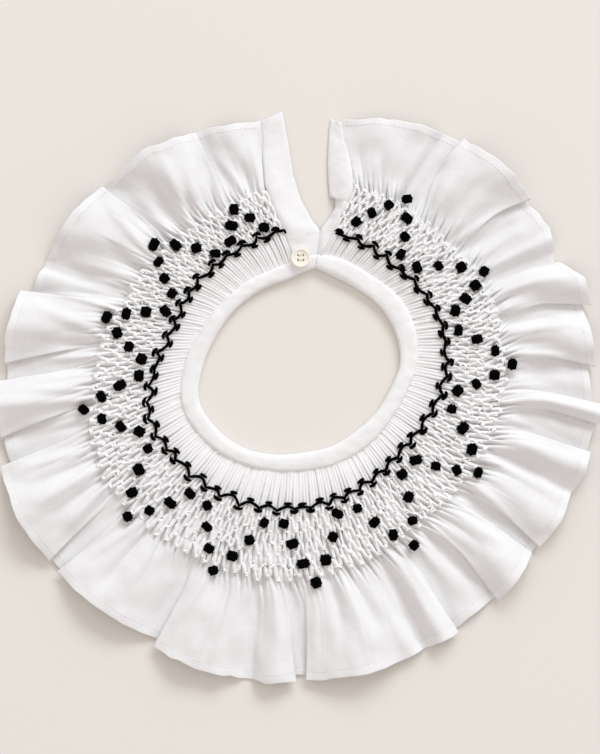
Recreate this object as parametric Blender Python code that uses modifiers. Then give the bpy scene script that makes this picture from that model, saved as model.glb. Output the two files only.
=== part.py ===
"""A smocked cotton collar with a ruffled edge, lying flat with its neck button done up.

Run with: blender --background --python part.py
The collar lies on its underside at Z = 0, with its opening towards +Y. The origin is under the middle of
its outline. Angles run clockwise from +Y, seen from above, about the middle of the neck, so the ruffle
starts on the right of the opening at about 9 degrees and ends on the left of it at about 351 degrees.
"""

import math
from typing import NamedTuple

import bmesh
import bpy
import numpy as np

MM = 0.001
COLLECTION = "smocked_collar"

NECK_CENTRE_X_MM = 1.2  # from the origin to the middle of the neck, which all angles turn about
NECK_CENTRE_Y_MM = 20.9

WALL_MM = 1.0  # one layer of cloth
SEAM_MM = 0.3  # what is sewn together stays this far apart
PLEATS = 172
COLUMNS = 2 * PLEATS  # a ridge and a furrow for each pleat

LAYER_HEIGHTS_MM = (0.5, 2.2, 3.9)  # middles of the lower layer, the return and the upper layer of a lap
CREST_SHARPNESS = 1.3  # 1 is a plain sine over each lobe
LOBE_SAMPLES = 49  # that a lobe's hem is measured with
LOBE_COLUMNS = 4  # that the narrowest lobe has
CLOTH_SHARE = 0.4  # of a lobe's columns go by its length of cloth, and the rest by its angle
FOLD_START_DEG = 9.0
GATHER_RELIEF_MM = 0.45  # of the pleats that run out into the ruffle
PLEAT_MIDDLE_MM = 2.6  # middle height of the cloth where it leaves the smocking

KNOT_RISE_MM = 2.0
KNOT_SHOULDER = 0.45  # share of the rise on the pleats beside a knot

WAVES = 48
WAVE_REACH_MM = 1.7  # the stitch runs this far out and in from its middle line
WAVE_THREAD_MM = 1.4
WAVE_START_DEG = 16.4
WAVE_END_DEG = 352.7
WAVE_POINTS = 5  # for each wave
WAVE_CLEAR_MM = 1.3  # above the ridges, which rise from here towards the nearest knots

BAND_TOP_MM = 4.2
BAND_WALL_MM = 1.0
BAND_UNDER_WIDTH_MM = 6.2  # the under fold is narrower than the upper one
BAND_ROUND_MM = 1.0  # of the fold's corners
BAND_SLOT_MM = 1.8  # from the fold to the space inside it
BAND_EDGE_DROP_MM = 0.2  # the upper fold is lower at its edge
BAND_START_DEG = 9.4
BAND_END_DEG = 369.0
BAND_SECTIONS = 100
TUCK_MM = 3.6  # the ruffle's neck edge lies this far under the band
TUCK_HEIGHT_MM = 2.05

PLACKET_WALL_MM = 1.8
PLACKET_STEPS = 4  # across each facing
PLACKET_SEAM_MM = 0.5  # along the facing, which meets the ruffle at a slant

BUTTON_ANGLE_DEG = 0.4
BUTTON_CENTRE_MM = 62.5  # from the neck's middle
BUTTON_RADIUS_MM = 5.75
BUTTON_HEIGHT_MM = 2.8
BUTTON_HOLE_RADIUS_MM = 0.65
BUTTON_HOLE_OFFSET_MM = 1.25
BUTTON_SEGMENTS = 32


class Plan(NamedTuple):
    """Distances from the neck's middle at one angle."""

    angle_deg: float
    neck_mm: float  # the band's fold
    band_mm: float  # the band's outer edge
    wave_mm: float  # the black wave row
    edge_mm: float  # where the smocking ends


PLAN = (
    Plan(9.0, 57.0, 65.2, 80.0, 110.0),
    Plan(21.0, 55.2, 66.4, 80.8, 111.0),
    Plan(39.0, 55.7, 66.6, 81.3, 112.0),
    Plan(57.0, 58.4, 70.7, 84.8, 115.8),
    Plan(75.0, 60.0, 71.2, 88.8, 121.6),
    Plan(90.6, 60.0, 69.6, 88.8, 123.0),
    Plan(105.0, 56.8, 66.4, 87.2, 123.0),
    Plan(123.0, 54.7, 64.2, 81.6, 121.6),
    Plan(141.0, 53.4, 64.2, 81.6, 120.0),
    Plan(159.0, 54.0, 64.2, 84.5, 123.0),
    Plan(177.0, 54.4, 64.8, 86.4, 127.8),
    Plan(195.0, 57.6, 66.9, 89.4, 132.0),
    Plan(213.0, 61.6, 70.7, 92.4, 132.0),
    Plan(231.0, 64.0, 73.8, 94.4, 134.4),
    Plan(249.0, 64.8, 75.2, 96.8, 133.6),
    Plan(267.0, 58.4, 69.6, 88.8, 122.4),
    Plan(285.0, 53.1, 63.2, 80.8, 115.2),
    Plan(303.0, 50.4, 59.2, 79.2, 107.2),
    Plan(321.0, 49.2, 57.6, 77.4, 103.8),
    Plan(339.0, 49.2, 57.4, 76.8, 102.4),
    Plan(353.4, 50.6, 59.6, 79.2, 105.0),
    Plan(362.0, 53.9, 62.6, 80.0, 106.0),
    Plan(370.0, 57.3, 65.4, 80.0, 107.0),
)


class Ends(NamedTuple):
    """Where the ruffle starts and ends at one distance from the neck's middle."""

    radius_mm: float
    start_deg: float
    end_deg: float


ENDS = (
    Ends(57.0, 10.5, 357.0),
    Ends(66.5, 11.9, 355.3),
    Ends(76.8, 13.7, 353.1),
    Ends(87.0, 15.1, 351.4),
    Ends(97.4, 16.2, 350.1),
    Ends(108.0, 17.0, 349.0),
    Ends(120.0, 14.9, 349.6),
    Ends(135.0, 11.4, 350.4),
    Ends(150.0, 9.0, 350.6),
)


class Fold(NamedTuple):
    """One lobe of the ruffle, at its hem. A lap above 0 lays its far side over the next lobe, and one
    below 0 puts it under the next lobe."""

    end_deg: float
    lap_mm: float
    start_mm: float  # the hem's distance from the neck's middle, at the lobe's start, middle and end
    middle_mm: float
    end_mm: float
    crest_mm: float


FOLDS = (
    Fold(36.3, -6.5, 146.5, 157.0, 164.0, 7.0),
    Fold(54.7, 8.0, 165.6, 169.0, 170.0, 11.0),
    Fold(68.8, 0.0, 166.5, 170.5, 164.0, 6.0),
    Fold(78.8, 6.0, 167.0, 177.0, 178.0, 10.0),
    Fold(90.8, 7.0, 173.0, 175.5, 177.0, 10.0),
    Fold(98.1, -4.5, 173.0, 175.0, 177.5, 2.5),
    Fold(101.7, 4.0, 182.0, 184.5, 183.0, 8.0),
    Fold(107.4, -5.0, 181.0, 181.0, 181.0, 2.5),
    Fold(115.8, 0.0, 182.0, 183.0, 181.0, 8.5),
    Fold(127.6, 5.0, 181.0, 183.0, 182.0, 9.0),
    Fold(129.6, -5.0, 180.5, 180.5, 180.5, 0.5),
    Fold(140.2, 7.0, 180.0, 184.0, 186.0, 10.0),
    Fold(149.7, -5.0, 184.0, 184.0, 185.0, 3.0),
    Fold(156.2, 0.0, 188.0, 188.0, 188.0, 9.0),
    Fold(178.8, 5.0, 188.0, 190.5, 191.2, 11.0),
    Fold(180.8, -5.0, 188.0, 188.0, 188.0, 0.5),
    Fold(189.6, 0.0, 192.0, 193.2, 193.0, 8.0),
    Fold(207.2, 8.0, 193.0, 194.0, 192.0, 11.0),
    Fold(229.1, 7.0, 187.0, 190.0, 192.0, 11.0),
    Fold(231.6, -7.0, 190.5, 190.5, 190.5, 1.0),
    Fold(250.7, 8.0, 192.0, 193.0, 190.0, 11.5),
    Fold(255.8, -6.0, 184.0, 184.0, 184.0, 2.0),
    Fold(266.2, 7.0, 185.0, 186.5, 184.0, 10.0),
    Fold(269.7, -5.0, 177.0, 177.0, 177.0, 1.0),
    Fold(284.2, 7.0, 177.0, 176.0, 173.0, 10.0),
    Fold(290.5, 0.0, 166.5, 166.0, 165.0, 4.0),
    Fold(311.4, 9.0, 165.0, 163.0, 159.0, 11.5),
    Fold(335.3, 7.5, 157.6, 157.5, 151.5, 11.5),
    Fold(350.6, 0.0, 152.0, 148.5, 146.5, 7.0),
)


class SmockRow(NamedTuple):
    """A level of the smocking, at a share of the way from the wave row to the smocking's edge. Its stitches
    draw neighbouring pleats together in pairs: shift says how far, as a share of a pleat."""

    share: float
    ridge_mm: float
    furrow_mm: float
    shift: float


SMOCK_ROWS = (
    SmockRow(0.0, 5.0, 3.4, 0.0),
    SmockRow(0.25, 5.7, 3.7, 0.22),
    SmockRow(0.52, 5.8, 3.7, -0.22),
    SmockRow(0.78, 5.7, 3.7, 0.22),
    SmockRow(1.0, 5.3, 3.6, -0.22),
)
BAND_EDGE_RIDGE_MM = 2.6
BAND_EDGE_FURROW_MM = 2.0


class RuffleRow(NamedTuple):
    """A level of the ruffle, at a share of the way from the smocking's edge to the hem."""

    share: float
    form: float  # how far it has taken the hem's form
    crest: float  # height of the folds, as a share of the hem's
    relief: float  # how much of the pleats is left


RUFFLE_ROWS = (
    RuffleRow(0.25, 0.62, 0.62, 1.0),
    RuffleRow(0.5, 1.0, 0.75, 0.4),
    RuffleRow(0.76, 1.0, 0.9, 0.0),
    RuffleRow(1.0, 1.0, 1.0, 0.0),
)


class Point(NamedTuple):
    """A corner of the black points, where a knot sits."""

    angle_deg: float
    radius_mm: float


class VPoint(NamedTuple):
    """One of the smocking's points: a knot at its tip, and rows of knots down to the furrows beside it."""

    tip: Point
    left: Point
    right: Point


V_POINTS = (
    VPoint(Point(33.3, 116.8), Point(21.9, 90.4), Point(43.2, 88.3)),
    VPoint(Point(63.8, 122.9), Point(51.0, 90.1), Point(71.7, 97.9)),
    VPoint(Point(90.6, 127.2), Point(78.7, 96.8), Point(100.3, 96.0)),
    VPoint(Point(121.8, 125.6), Point(107.2, 95.2), Point(130.3, 90.9)),
    VPoint(Point(148.1, 129.3), Point(137.7, 90.9), Point(158.6, 94.1)),
    VPoint(Point(175.8, 132.5), Point(166.1, 93.6), Point(185.7, 97.3)),
    VPoint(Point(202.6, 135.2), Point(192.5, 98.7), Point(212.9, 102.4)),
    VPoint(Point(228.1, 138.7), Point(219.9, 102.7), Point(240.3, 104.8)),
    VPoint(Point(257.6, 132.8), Point(246.6, 104.8), Point(265.1, 96.8)),
    VPoint(Point(283.0, 118.9), Point(271.1, 94.9), Point(290.6, 86.1)),
    VPoint(Point(308.8, 112.3), Point(298.1, 86.9), Point(322.0, 82.4)),
    VPoint(Point(336.6, 99.5), Point(329.9, 83.4), Point(345.0, 83.4)),
)
LAST_POINT_STEPS = (0.0, 0.5, 1.0)  # the last point is shorter, with one row of knots less
POINT_STEPS = (0.0, 1 / 3, 2 / 3, 1.0)


class PlacketRow(NamedTuple):
    """A line across a facing, from the ruffle's end to the edge of the opening."""

    ruffle_mm: float
    edge_deg: float
    edge_mm: float
    lift_mm: float  # its height above the table on the ruffle's side


PLACKET_RIGHT = (
    PlacketRow(66.6, 9.4, 65.9, 0.6),
    PlacketRow(73.0, 9.2, 72.0, 1.6),
    PlacketRow(80.0, 9.4, 80.0, 2.0),
    PlacketRow(88.0, 11.4, 88.5, 2.0),
    PlacketRow(95.0, 12.8, 95.0, 2.0),
    PlacketRow(99.4, 12.3, 99.8, 2.0),
    PlacketRow(100.8, 10.1, 101.2, 2.0),
    PlacketRow(109.0, 8.9, 110.0, 2.0),
    PlacketRow(120.0, 7.9, 120.0, 2.0),
    PlacketRow(133.0, 7.3, 134.0, 1.6),
    PlacketRow(140.5, 7.1, 141.0, 0.8),
    PlacketRow(146.4, 7.2, 147.4, 0.0),
)
PLACKET_LEFT = (
    PlacketRow(60.9, 368.9, 65.9, 0.6),
    PlacketRow(68.0, 368.7, 72.0, 1.6),
    PlacketRow(76.0, 368.8, 79.6, 2.0),
    PlacketRow(84.0, 364.4, 86.6, 2.0),
    PlacketRow(94.0, 360.4, 97.2, 2.0),
    PlacketRow(108.0, 358.0, 111.7, 2.0),
    PlacketRow(124.0, 357.1, 128.6, 1.6),
    PlacketRow(136.0, 356.5, 140.0, 0.8),
    PlacketRow(146.5, 355.9, 151.0, 0.0),
)


class Surface(NamedTuple):
    """A row of points over the columns, as angles, distances from the neck's middle and heights."""

    angle_deg: np.ndarray
    radius_mm: np.ndarray
    height_mm: np.ndarray


def clear_scene():
    for existing in list(bpy.data.objects):
        bpy.data.objects.remove(existing, do_unlink=True)


def make_material(name, colour, roughness):
    material = bpy.data.materials.new(name)
    material.use_nodes = True
    shader = material.node_tree.nodes["Principled BSDF"]
    shader.inputs["Base Color"].default_value = (*colour, 1.0)
    shader.inputs["Roughness"].default_value = roughness
    shader.inputs["Metallic"].default_value = 0.0
    return material


def plan_value(column, angle_deg):
    """A column of the plan at any angle, along a smooth curve through its rows."""
    angles = np.array([row.angle_deg for row in PLAN])
    values = np.array([getattr(row, column) for row in PLAN])
    slopes = np.gradient(values, angles)
    low = np.clip(np.searchsorted(angles, angle_deg) - 1, 0, len(angles) - 2)
    step = angles[low + 1] - angles[low]
    t = np.clip((angle_deg - angles[low]) / step, 0.0, 1.0)
    near = (2 * t**3 - 3 * t**2 + 1) * values[low] + (t**3 - 2 * t**2 + t) * step * slopes[low]
    far = (3 * t**2 - 2 * t**3) * values[low + 1] + (t**3 - t**2) * step * slopes[low + 1]
    return near + far


def ruffle_end(column, radius_mm):
    """The angle at which the ruffle starts or ends, at a distance from the neck's middle."""
    return np.interp(radius_mm, [row.radius_mm for row in ENDS], [getattr(row, column) for row in ENDS])


def column_angle(share, radius_mm):
    start = ruffle_end("start_deg", radius_mm)
    return start + (ruffle_end("end_deg", radius_mm) - start) * share


def to_world(angle_deg, radius_mm, height_mm):
    """Points in metres about the part's origin, in the last axis."""
    angle = np.radians(angle_deg)
    x = NECK_CENTRE_X_MM + radius_mm * np.sin(angle)
    y = NECK_CENTRE_Y_MM + radius_mm * np.cos(angle)
    return np.stack(np.broadcast_arrays(x, y, height_mm), axis=-1) * MM


def degrees_of(length_mm, radius_mm):
    return math.degrees(length_mm / radius_mm)


def lobe_line(fold, start_deg, lap_before):
    """One lobe's hem, from the layer it starts on to the layer it ends on, as rows of angle, distance,
    layer height and crest height. What lies under a neighbour runs on flat beneath it."""
    lower, _, upper = LAYER_HEIGHTS_MM
    first = start_deg - degrees_of(max(lap_before, 0.0), fold.start_mm)
    last = fold.end_deg + degrees_of(max(-fold.lap_mm, 0.0), fold.end_mm)
    angle = np.linspace(first, last, LOBE_SAMPLES)
    shown = np.clip((angle - start_deg) / (fold.end_deg - start_deg), 0.0, 1.0)
    radius = np.interp(shown, (0.0, 0.5, 1.0), (fold.start_mm, fold.middle_mm, fold.end_mm))
    start_height = upper if lap_before < 0 else lower
    end_height = upper if fold.lap_mm > 0 else lower
    layer = start_height + (end_height - start_height) * shown * shown * (3 - 2 * shown)
    crest = fold.crest_mm * np.sin(np.pi * shown) ** CREST_SHARPNESS
    return np.stack([angle, radius, layer, crest], axis=1)


def run_along(line):
    """How far along a hem line each of its points lies, in metres."""
    places = to_world(line[:, 0], line[:, 1], line[:, 2] + line[:, 3])
    return np.concatenate([[0.0], np.cumsum(np.linalg.norm(np.diff(places, axis=0), axis=1))])


def hem_columns():
    """The hem's line with one row for each column. Every lap has a column on each of its two turns and one
    between them, and each lobe shares out the rest evenly along its cloth."""
    lobes = []
    start_deg, lap_before = FOLD_START_DEG, 0.0
    for fold in FOLDS:
        lobes.append(lobe_line(fold, start_deg, lap_before))
        start_deg, lap_before = fold.end_deg, fold.lap_mm
    laps = [abs(fold.lap_mm) * MM for fold in FOLDS]
    lengths = [run_along(lobe)[-1] for lobe in lobes]
    reach = np.cumsum([length + lap for length, lap in zip(lengths, laps)])
    by_cloth = (reach - np.array(laps) / 2) / reach[-1]
    by_angle = (np.array([fold.end_deg for fold in FOLDS]) - FOLD_START_DEG) / (start_deg - FOLD_START_DEG)
    ends = np.round((by_angle + (by_cloth - by_angle) * CLOTH_SHARE) * COLUMNS).astype(int)
    for k in range(1, len(ends)):
        ends[k] = max(ends[k], ends[k - 1] + LOBE_COLUMNS)
    rows = np.zeros((COLUMNS + 1, 4))
    first = 0
    for lobe, end, lap in zip(lobes, ends, laps):
        last = end - 1 if lap else end
        run = run_along(lobe)
        at = np.linspace(0.0, run[-1], last - first + 1)
        for k in range(4):
            rows[first : last + 1, k] = np.interp(at, run, lobe[:, k])
        first = end + 1 if lap else end
    for end, lap in zip(ends, laps):
        if lap:
            rows[end] = (rows[end - 1] + rows[end + 1]) / 2
    return rows


def pleated_row(radius_mm, ridge_mm, furrow_mm, shift):
    """A row of the gathered part. Ridges lean towards each other in pairs where the stitches draw them."""
    columns = np.arange(COLUMNS + 1)
    ridge = columns % 2 == 1
    side = np.where(columns // 2 % 2 == 0, 1.0, -1.0)
    moved = columns + np.where(ridge, 2 * shift * side, 0.0)
    angle = column_angle(moved / COLUMNS, radius_mm)
    return Surface(angle, radius_mm, np.where(ridge, ridge_mm, furrow_mm))


def knots():
    """Where the black knots sit: down both sides of each point, without repeating a shared corner."""
    found = []
    for index, point in enumerate(V_POINTS):
        last = index == len(V_POINTS) - 1
        steps = LAST_POINT_STEPS if last else POINT_STEPS
        for side in (point.left, point.right):
            for step in steps[1:] if side is point.right else steps:
                angle = point.tip.angle_deg + (side.angle_deg - point.tip.angle_deg) * step
                radius = point.tip.radius_mm + (side.radius_mm - point.tip.radius_mm) * step
                found.append(Point(angle, radius))
    return found


def raise_knots(rows):
    """Lifts the ridge nearest to each knot, moves it to the knot's place, and half lifts its neighbours."""
    for knot in knots():
        row_radii = [np.interp(knot.angle_deg, row.angle_deg, row.radius_mm) for row in rows]
        row = rows[int(np.abs(np.array(row_radii) - knot.radius_mm).argmin())]
        column = int(np.abs(row.angle_deg - knot.angle_deg).argmin())
        row.height_mm[column - 1 : column + 2] += KNOT_RISE_MM * KNOT_SHOULDER
        row.height_mm[column] = max(r.ridge_mm for r in SMOCK_ROWS) + KNOT_RISE_MM
        row.angle_deg[column] = knot.angle_deg
        row.radius_mm[column] = knot.radius_mm


def column_plan(column):
    """A column of the plan at each column of the cloth."""
    share = np.arange(COLUMNS + 1) / COLUMNS
    nominal = column_angle(share, plan_value("wave_mm", column_angle(share, PLAN[0].wave_mm)))
    return plan_value(column, nominal)


def smocked_rows():
    wave, edge = column_plan("wave_mm"), column_plan("edge_mm")
    rows = []
    for row in SMOCK_ROWS:
        radius = wave + (edge - wave) * row.share
        rows.append(pleated_row(radius, row.ridge_mm, row.furrow_mm, row.shift))
    raise_knots(rows[1:])
    band_edge = column_plan("band_mm") + SEAM_MM
    return [pleated_row(band_edge, BAND_EDGE_RIDGE_MM, BAND_EDGE_FURROW_MM, 0.0)] + rows


def ruffled_middles(edge_radius):
    """The middle of the cloth's wall at each level of the ruffle."""
    columns = np.arange(COLUMNS + 1)
    share = columns / COLUMNS
    hem = hem_columns()
    side = np.where(columns % 2 == 1, 1.0, -1.0)
    middles = []
    for row in RUFFLE_ROWS:
        radius = edge_radius + (hem[:, 1] - edge_radius) * row.share
        gathered = column_angle(share, radius)
        angle = gathered + (hem[:, 0] - gathered) * row.share
        height = hem[:, 2] + hem[:, 3] * row.crest
        height = PLEAT_MIDDLE_MM + (height - PLEAT_MIDDLE_MM) * row.form
        middles.append(Surface(angle, radius, height + GATHER_RELIEF_MM * row.relief * side))
    return middles


def bisectors(grid):
    """The direction along each row at each point, halfway between the steps to it and from it, so that it
    turns evenly where the cloth laps back."""
    steps = np.diff(grid, axis=1)
    steps /= np.linalg.norm(steps, axis=2, keepdims=True)
    return np.concatenate([steps[:, :1], steps[:, :-1] + steps[:, 1:], steps[:, -1:]], axis=1)


def wall_sides(middles, inner):
    """The two faces of the cloth at each level, half a wall from its middle, kept above the table."""
    start = to_world(inner.angle_deg, inner.radius_mm, PLEAT_MIDDLE_MM)
    grid = np.stack([start] + [to_world(*middle) for middle in middles])
    across = np.gradient(grid, axis=0)
    along = bisectors(grid)
    normal = np.cross(along, across)
    normal /= np.linalg.norm(normal, axis=2, keepdims=True)
    outer = grid + normal * (WALL_MM * MM / 2)
    under = grid - normal * (WALL_MM * MM / 2)
    under[..., 2] = np.maximum(under[..., 2], 0.0)
    return outer[1:], under[1:]


def ruffle_sections():
    """A closed section of the collar's cloth for each column: over the pleats and the ruffle to the hem,
    and back along the underside."""
    smocked = smocked_rows()
    band_row = smocked[0]
    edge = pleated_row(column_plan("edge_mm"), 0.0, 0.0, 0.0)
    middles = ruffled_middles(edge.radius_mm)
    outer, under = wall_sides(middles, edge)
    tuck = to_world(band_row.angle_deg, band_row.radius_mm - TUCK_MM, TUCK_HEIGHT_MM)
    top = [tuck] + [to_world(*row) for row in smocked] + list(outer)
    bottom = list(under[::-1]) + [to_world(*edge), to_world(*band_row._replace(height_mm=0.0))]
    return np.stack(top, axis=1), np.stack(bottom, axis=1)


def zip_ends(outer, inner):
    """Triangles, as index pairs, that close the end between two rows of points that share no ends."""
    faces = []
    i = j = 0
    while i < len(outer) - 1 or j < len(inner) - 1:
        step_outer = j == len(inner) - 1 or (
            i < len(outer) - 1
            and math.dist(outer[i + 1], inner[j]) < math.dist(outer[i], inner[j + 1])
        )
        if step_outer:
            faces.append((("o", i), ("o", i + 1), ("i", j)))
            i += 1
        else:
            faces.append((("o", i), ("i", j + 1), ("i", j)))
            j += 1
    return faces


def closed_loft(name, top, bottom, material, collection):
    """A solid through sections, each the points of its top and then of its underside. Its ends are closed
    by triangles between the two."""
    count, tops, unders = top.shape[0], top.shape[1], bottom.shape[1]
    size = tops + unders
    sections = np.concatenate([top, bottom], axis=1)
    faces = []
    for k in range(count - 1):
        for p in range(size):
            q = (p + 1) % size
            near, near_next = k * size + p, k * size + q
            far, far_next = near + size, near_next + size
            if p < tops:  # both sides of the wall are cut along the same slant
                faces += [(near, near_next, far_next), (near, far_next, far)]
            else:
                faces += [(near, near_next, far), (near_next, far_next, far)]
    for k in (0, count - 1):
        over = top[k]
        back = bottom[k][::-1]
        for face in zip_ends(over, back):
            index = [i if kind == "o" else tops + unders - 1 - i for kind, i in face]
            faces.append(tuple(k * size + i for i in index))
    mesh = bpy.data.meshes.new(name)
    mesh.from_pydata([tuple(p) for p in sections.reshape(-1, 3)], [], faces)
    return finish_mesh(name, mesh, material, collection)


def finish_mesh(name, mesh, material, collection):
    shape = bmesh.new()
    shape.from_mesh(mesh)
    bmesh.ops.recalc_face_normals(shape, faces=shape.faces)
    if shape.calc_volume(signed=True) < 0:
        bmesh.ops.reverse_faces(shape, faces=shape.faces)
    shape.to_mesh(mesh)
    shape.free()
    mesh.materials.append(material)
    obj = bpy.data.objects.new(name, mesh)
    collection.objects.link(obj)
    return obj


def make_neckband(material, collection):
    """The band's section is a strip folded at the neck, open on the side of the pleats."""
    angle = np.linspace(BAND_START_DEG, BAND_END_DEG, BAND_SECTIONS)
    neck = plan_value("neck_mm", angle)
    width = plan_value("band_mm", angle) - neck
    edge_top = BAND_TOP_MM - BAND_EDGE_DROP_MM
    slot_top = edge_top - BAND_WALL_MM
    over = [
        (BAND_UNDER_WIDTH_MM, 0.0),
        (BAND_ROUND_MM, 0.0),
        (0.0, BAND_TOP_MM / 2),
        (BAND_ROUND_MM, BAND_TOP_MM),
        (width, edge_top),
    ]
    inside = [
        (width, slot_top),
        (BAND_SLOT_MM, slot_top),
        (BAND_SLOT_MM, BAND_WALL_MM),
        (BAND_UNDER_WIDTH_MM, BAND_WALL_MM),
    ]
    top = np.stack([to_world(angle, neck + out, height) for out, height in over], axis=1)
    bottom = np.stack([to_world(angle, neck + out, height) for out, height in inside], axis=1)
    return closed_loft("neckband", top, bottom, material, collection)


def seam_point(seam_line, radius_mm):
    """The place on the ruffle's end, at a distance from the neck's middle, in millimetres."""
    x, y = seam_line[:, 0] / MM - NECK_CENTRE_X_MM, seam_line[:, 1] / MM - NECK_CENTRE_Y_MM
    radii = np.hypot(x, y)
    return np.array([np.interp(radius_mm, radii, x), np.interp(radius_mm, radii, y)])


def make_placket(name, rows, seam_line, material, collection):
    """A facing between the ruffle's end and the opening, lifted where it joins the pleats."""
    centre = np.array([NECK_CENTRE_X_MM, NECK_CENTRE_Y_MM])
    top, bottom = [], []
    for row in rows:
        angle = math.radians(row.edge_deg)
        edge = row.edge_mm * np.array([math.sin(angle), math.cos(angle)])
        seam = seam_point(seam_line, row.ruffle_mm)
        seam = seam + (edge - seam) / np.linalg.norm(edge - seam) * PLACKET_SEAM_MM
        for t in np.linspace(0.0, 1.0, PLACKET_STEPS + 1):
            x, y = centre + seam + (edge - seam) * t
            lift = row.lift_mm * (1.0 - t) ** 2
            top.append((x, y, lift + PLACKET_WALL_MM))
            bottom.append((x, y, lift))
    shape = (len(rows), PLACKET_STEPS + 1, 3)
    top, bottom = np.array(top).reshape(shape) * MM, np.array(bottom).reshape(shape) * MM
    return closed_loft(name, top, bottom[:, ::-1], material, collection)


def make_wave_stitch(material, collection):
    """The thread waves over the ridges of the pleats, a seam's gap above them."""
    count = WAVES * WAVE_POINTS
    share = np.linspace(0.0, 1.0, count + 1)
    angle = WAVE_START_DEG + (WAVE_END_DEG - WAVE_START_DEG) * share
    radius = plan_value("wave_mm", angle) + WAVE_REACH_MM * np.cos(2 * np.pi * WAVES * share)
    height = SMOCK_ROWS[0].ridge_mm + WAVE_CLEAR_MM + WAVE_THREAD_MM / 2
    curve = bpy.data.curves.new("wave_stitch", "CURVE")
    curve.dimensions = "3D"
    curve.bevel_depth = WAVE_THREAD_MM / 2 * MM
    curve.bevel_resolution = 0
    curve.use_fill_caps = True
    spline = curve.splines.new("POLY")
    spline.points.add(count)
    for point, place in zip(spline.points, to_world(angle, radius, height)):
        point.co = (*place, 1.0)
    curve.materials.append(material)
    obj = bpy.data.objects.new("wave_stitch", curve)
    collection.objects.link(obj)
    return obj


def make_button(material, collection, cutters):
    """A turned disc with a raised rim and four holes."""
    radius, height = BUTTON_RADIUS_MM * MM, BUTTON_HEIGHT_MM * MM
    profile = [
        (0.0, height * 0.68),
        (radius * 0.62, height * 0.68),
        (radius * 0.74, height * 0.96),
        (radius * 0.84, height),
        (radius, height * 0.7),
        (radius * 0.98, height * 0.3),
        (radius * 0.75, 0.0),
        (0.0, 0.0),
    ]
    mesh = bpy.data.meshes.new("button")
    mesh.from_pydata([(x, 0.0, z) for x, z in profile], [(k, k + 1) for k in range(len(profile) - 1)], [])
    mesh.materials.append(material)
    button = bpy.data.objects.new("button", mesh)
    collection.objects.link(button)
    place = to_world(BUTTON_ANGLE_DEG, BUTTON_CENTRE_MM, BAND_TOP_MM + SEAM_MM)
    button.location = tuple(place)
    screw = button.modifiers.new("turn", "SCREW")
    screw.steps = screw.render_steps = BUTTON_SEGMENTS
    screw.use_merge_vertices = True
    screw.merge_threshold = 0.00001
    for index in range(4):
        angle = math.radians(45 + 90 * index)
        offset = BUTTON_HOLE_OFFSET_MM * MM
        bpy.ops.mesh.primitive_cylinder_add(vertices=12, radius=BUTTON_HOLE_RADIUS_MM * MM, depth=4 * height)
        cutter = bpy.context.object
        cutter.name = f"button_hole_{index}"
        x, y = place[0] + offset * math.cos(angle), place[1] + offset * math.sin(angle)
        cutter.location = (x, y, place[2] + height / 2)
        cutter.hide_render = True
        cutter.display_type = "WIRE"
        for holder in list(cutter.users_collection):
            holder.objects.unlink(cutter)
        cutters.objects.link(cutter)
        hole = button.modifiers.new(cutter.name, "BOOLEAN")
        hole.operation = "DIFFERENCE"
        hole.object = cutter
    return button


def main():
    clear_scene()
    collection = bpy.data.collections.new(COLLECTION)
    cutters = bpy.data.collections.new("cutters")
    for made in (collection, cutters):
        bpy.context.scene.collection.children.link(made)
    cotton = make_material("white_cotton", (0.86, 0.87, 0.89), 0.85)
    facing = make_material("facing_cotton", (0.86, 0.87, 0.89), 0.85)
    binding = make_material("binding_cotton", (0.87, 0.88, 0.90), 0.8)
    thread = make_material("black_thread", (0.015, 0.015, 0.017), 0.7)
    resin = make_material("cream_resin", (0.85, 0.81, 0.72), 0.35)
    top, bottom = ruffle_sections()
    closed_loft("smocked_ruffle", top, bottom, cotton, collection)
    make_neckband(binding, collection)
    smocked_points = 1 + len(SMOCK_ROWS) + 1
    for name, rows, end in (("placket_right", PLACKET_RIGHT, 0), ("placket_left", PLACKET_LEFT, -1)):
        seam_line = np.concatenate([bottom[end, :-3:-1], top[end, smocked_points:]])
        make_placket(name, rows, seam_line, facing, collection)
    make_wave_stitch(thread, collection)
    make_button(resin, collection, cutters)


main()
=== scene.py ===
"""The looks of a smocked white cotton collar with a ruffled edge, lying flat with its button done up.

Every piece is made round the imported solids, in metres in their frame, and rides on the one body. Angles
run clockwise from +Y, seen from above, about the middle of the neck.
"""

import logging
import math
from dataclasses import dataclass, field
from enum import Enum
from typing import Any, Callable, NamedTuple

import bmesh
import bpy
import numpy as np
from mathutils import Matrix, Vector


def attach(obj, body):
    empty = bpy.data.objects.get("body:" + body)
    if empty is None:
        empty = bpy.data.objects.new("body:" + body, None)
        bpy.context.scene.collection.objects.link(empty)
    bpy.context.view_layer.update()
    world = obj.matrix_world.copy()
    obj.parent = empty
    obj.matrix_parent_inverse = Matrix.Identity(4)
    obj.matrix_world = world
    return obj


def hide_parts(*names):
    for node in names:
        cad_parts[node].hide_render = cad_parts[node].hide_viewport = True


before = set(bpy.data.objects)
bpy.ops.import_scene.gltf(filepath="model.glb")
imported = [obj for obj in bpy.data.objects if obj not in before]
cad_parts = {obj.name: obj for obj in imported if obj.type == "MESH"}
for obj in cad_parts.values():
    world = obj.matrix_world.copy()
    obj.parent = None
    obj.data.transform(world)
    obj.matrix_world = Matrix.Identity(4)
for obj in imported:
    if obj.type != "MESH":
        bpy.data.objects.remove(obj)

MM = 0.001
BODY = "root"
CLOTH_UV = "cloth"
DOUBLED = "doubled"
LOG = logging.getLogger("smocked_collar")
Colour = tuple[float, float, float]


class Slot(Enum):
    """The record's material slots."""

    COTTON = "cotton"
    BINDING = "binding"
    THREAD = "black_thread"
    RESIN = "resin"


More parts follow.
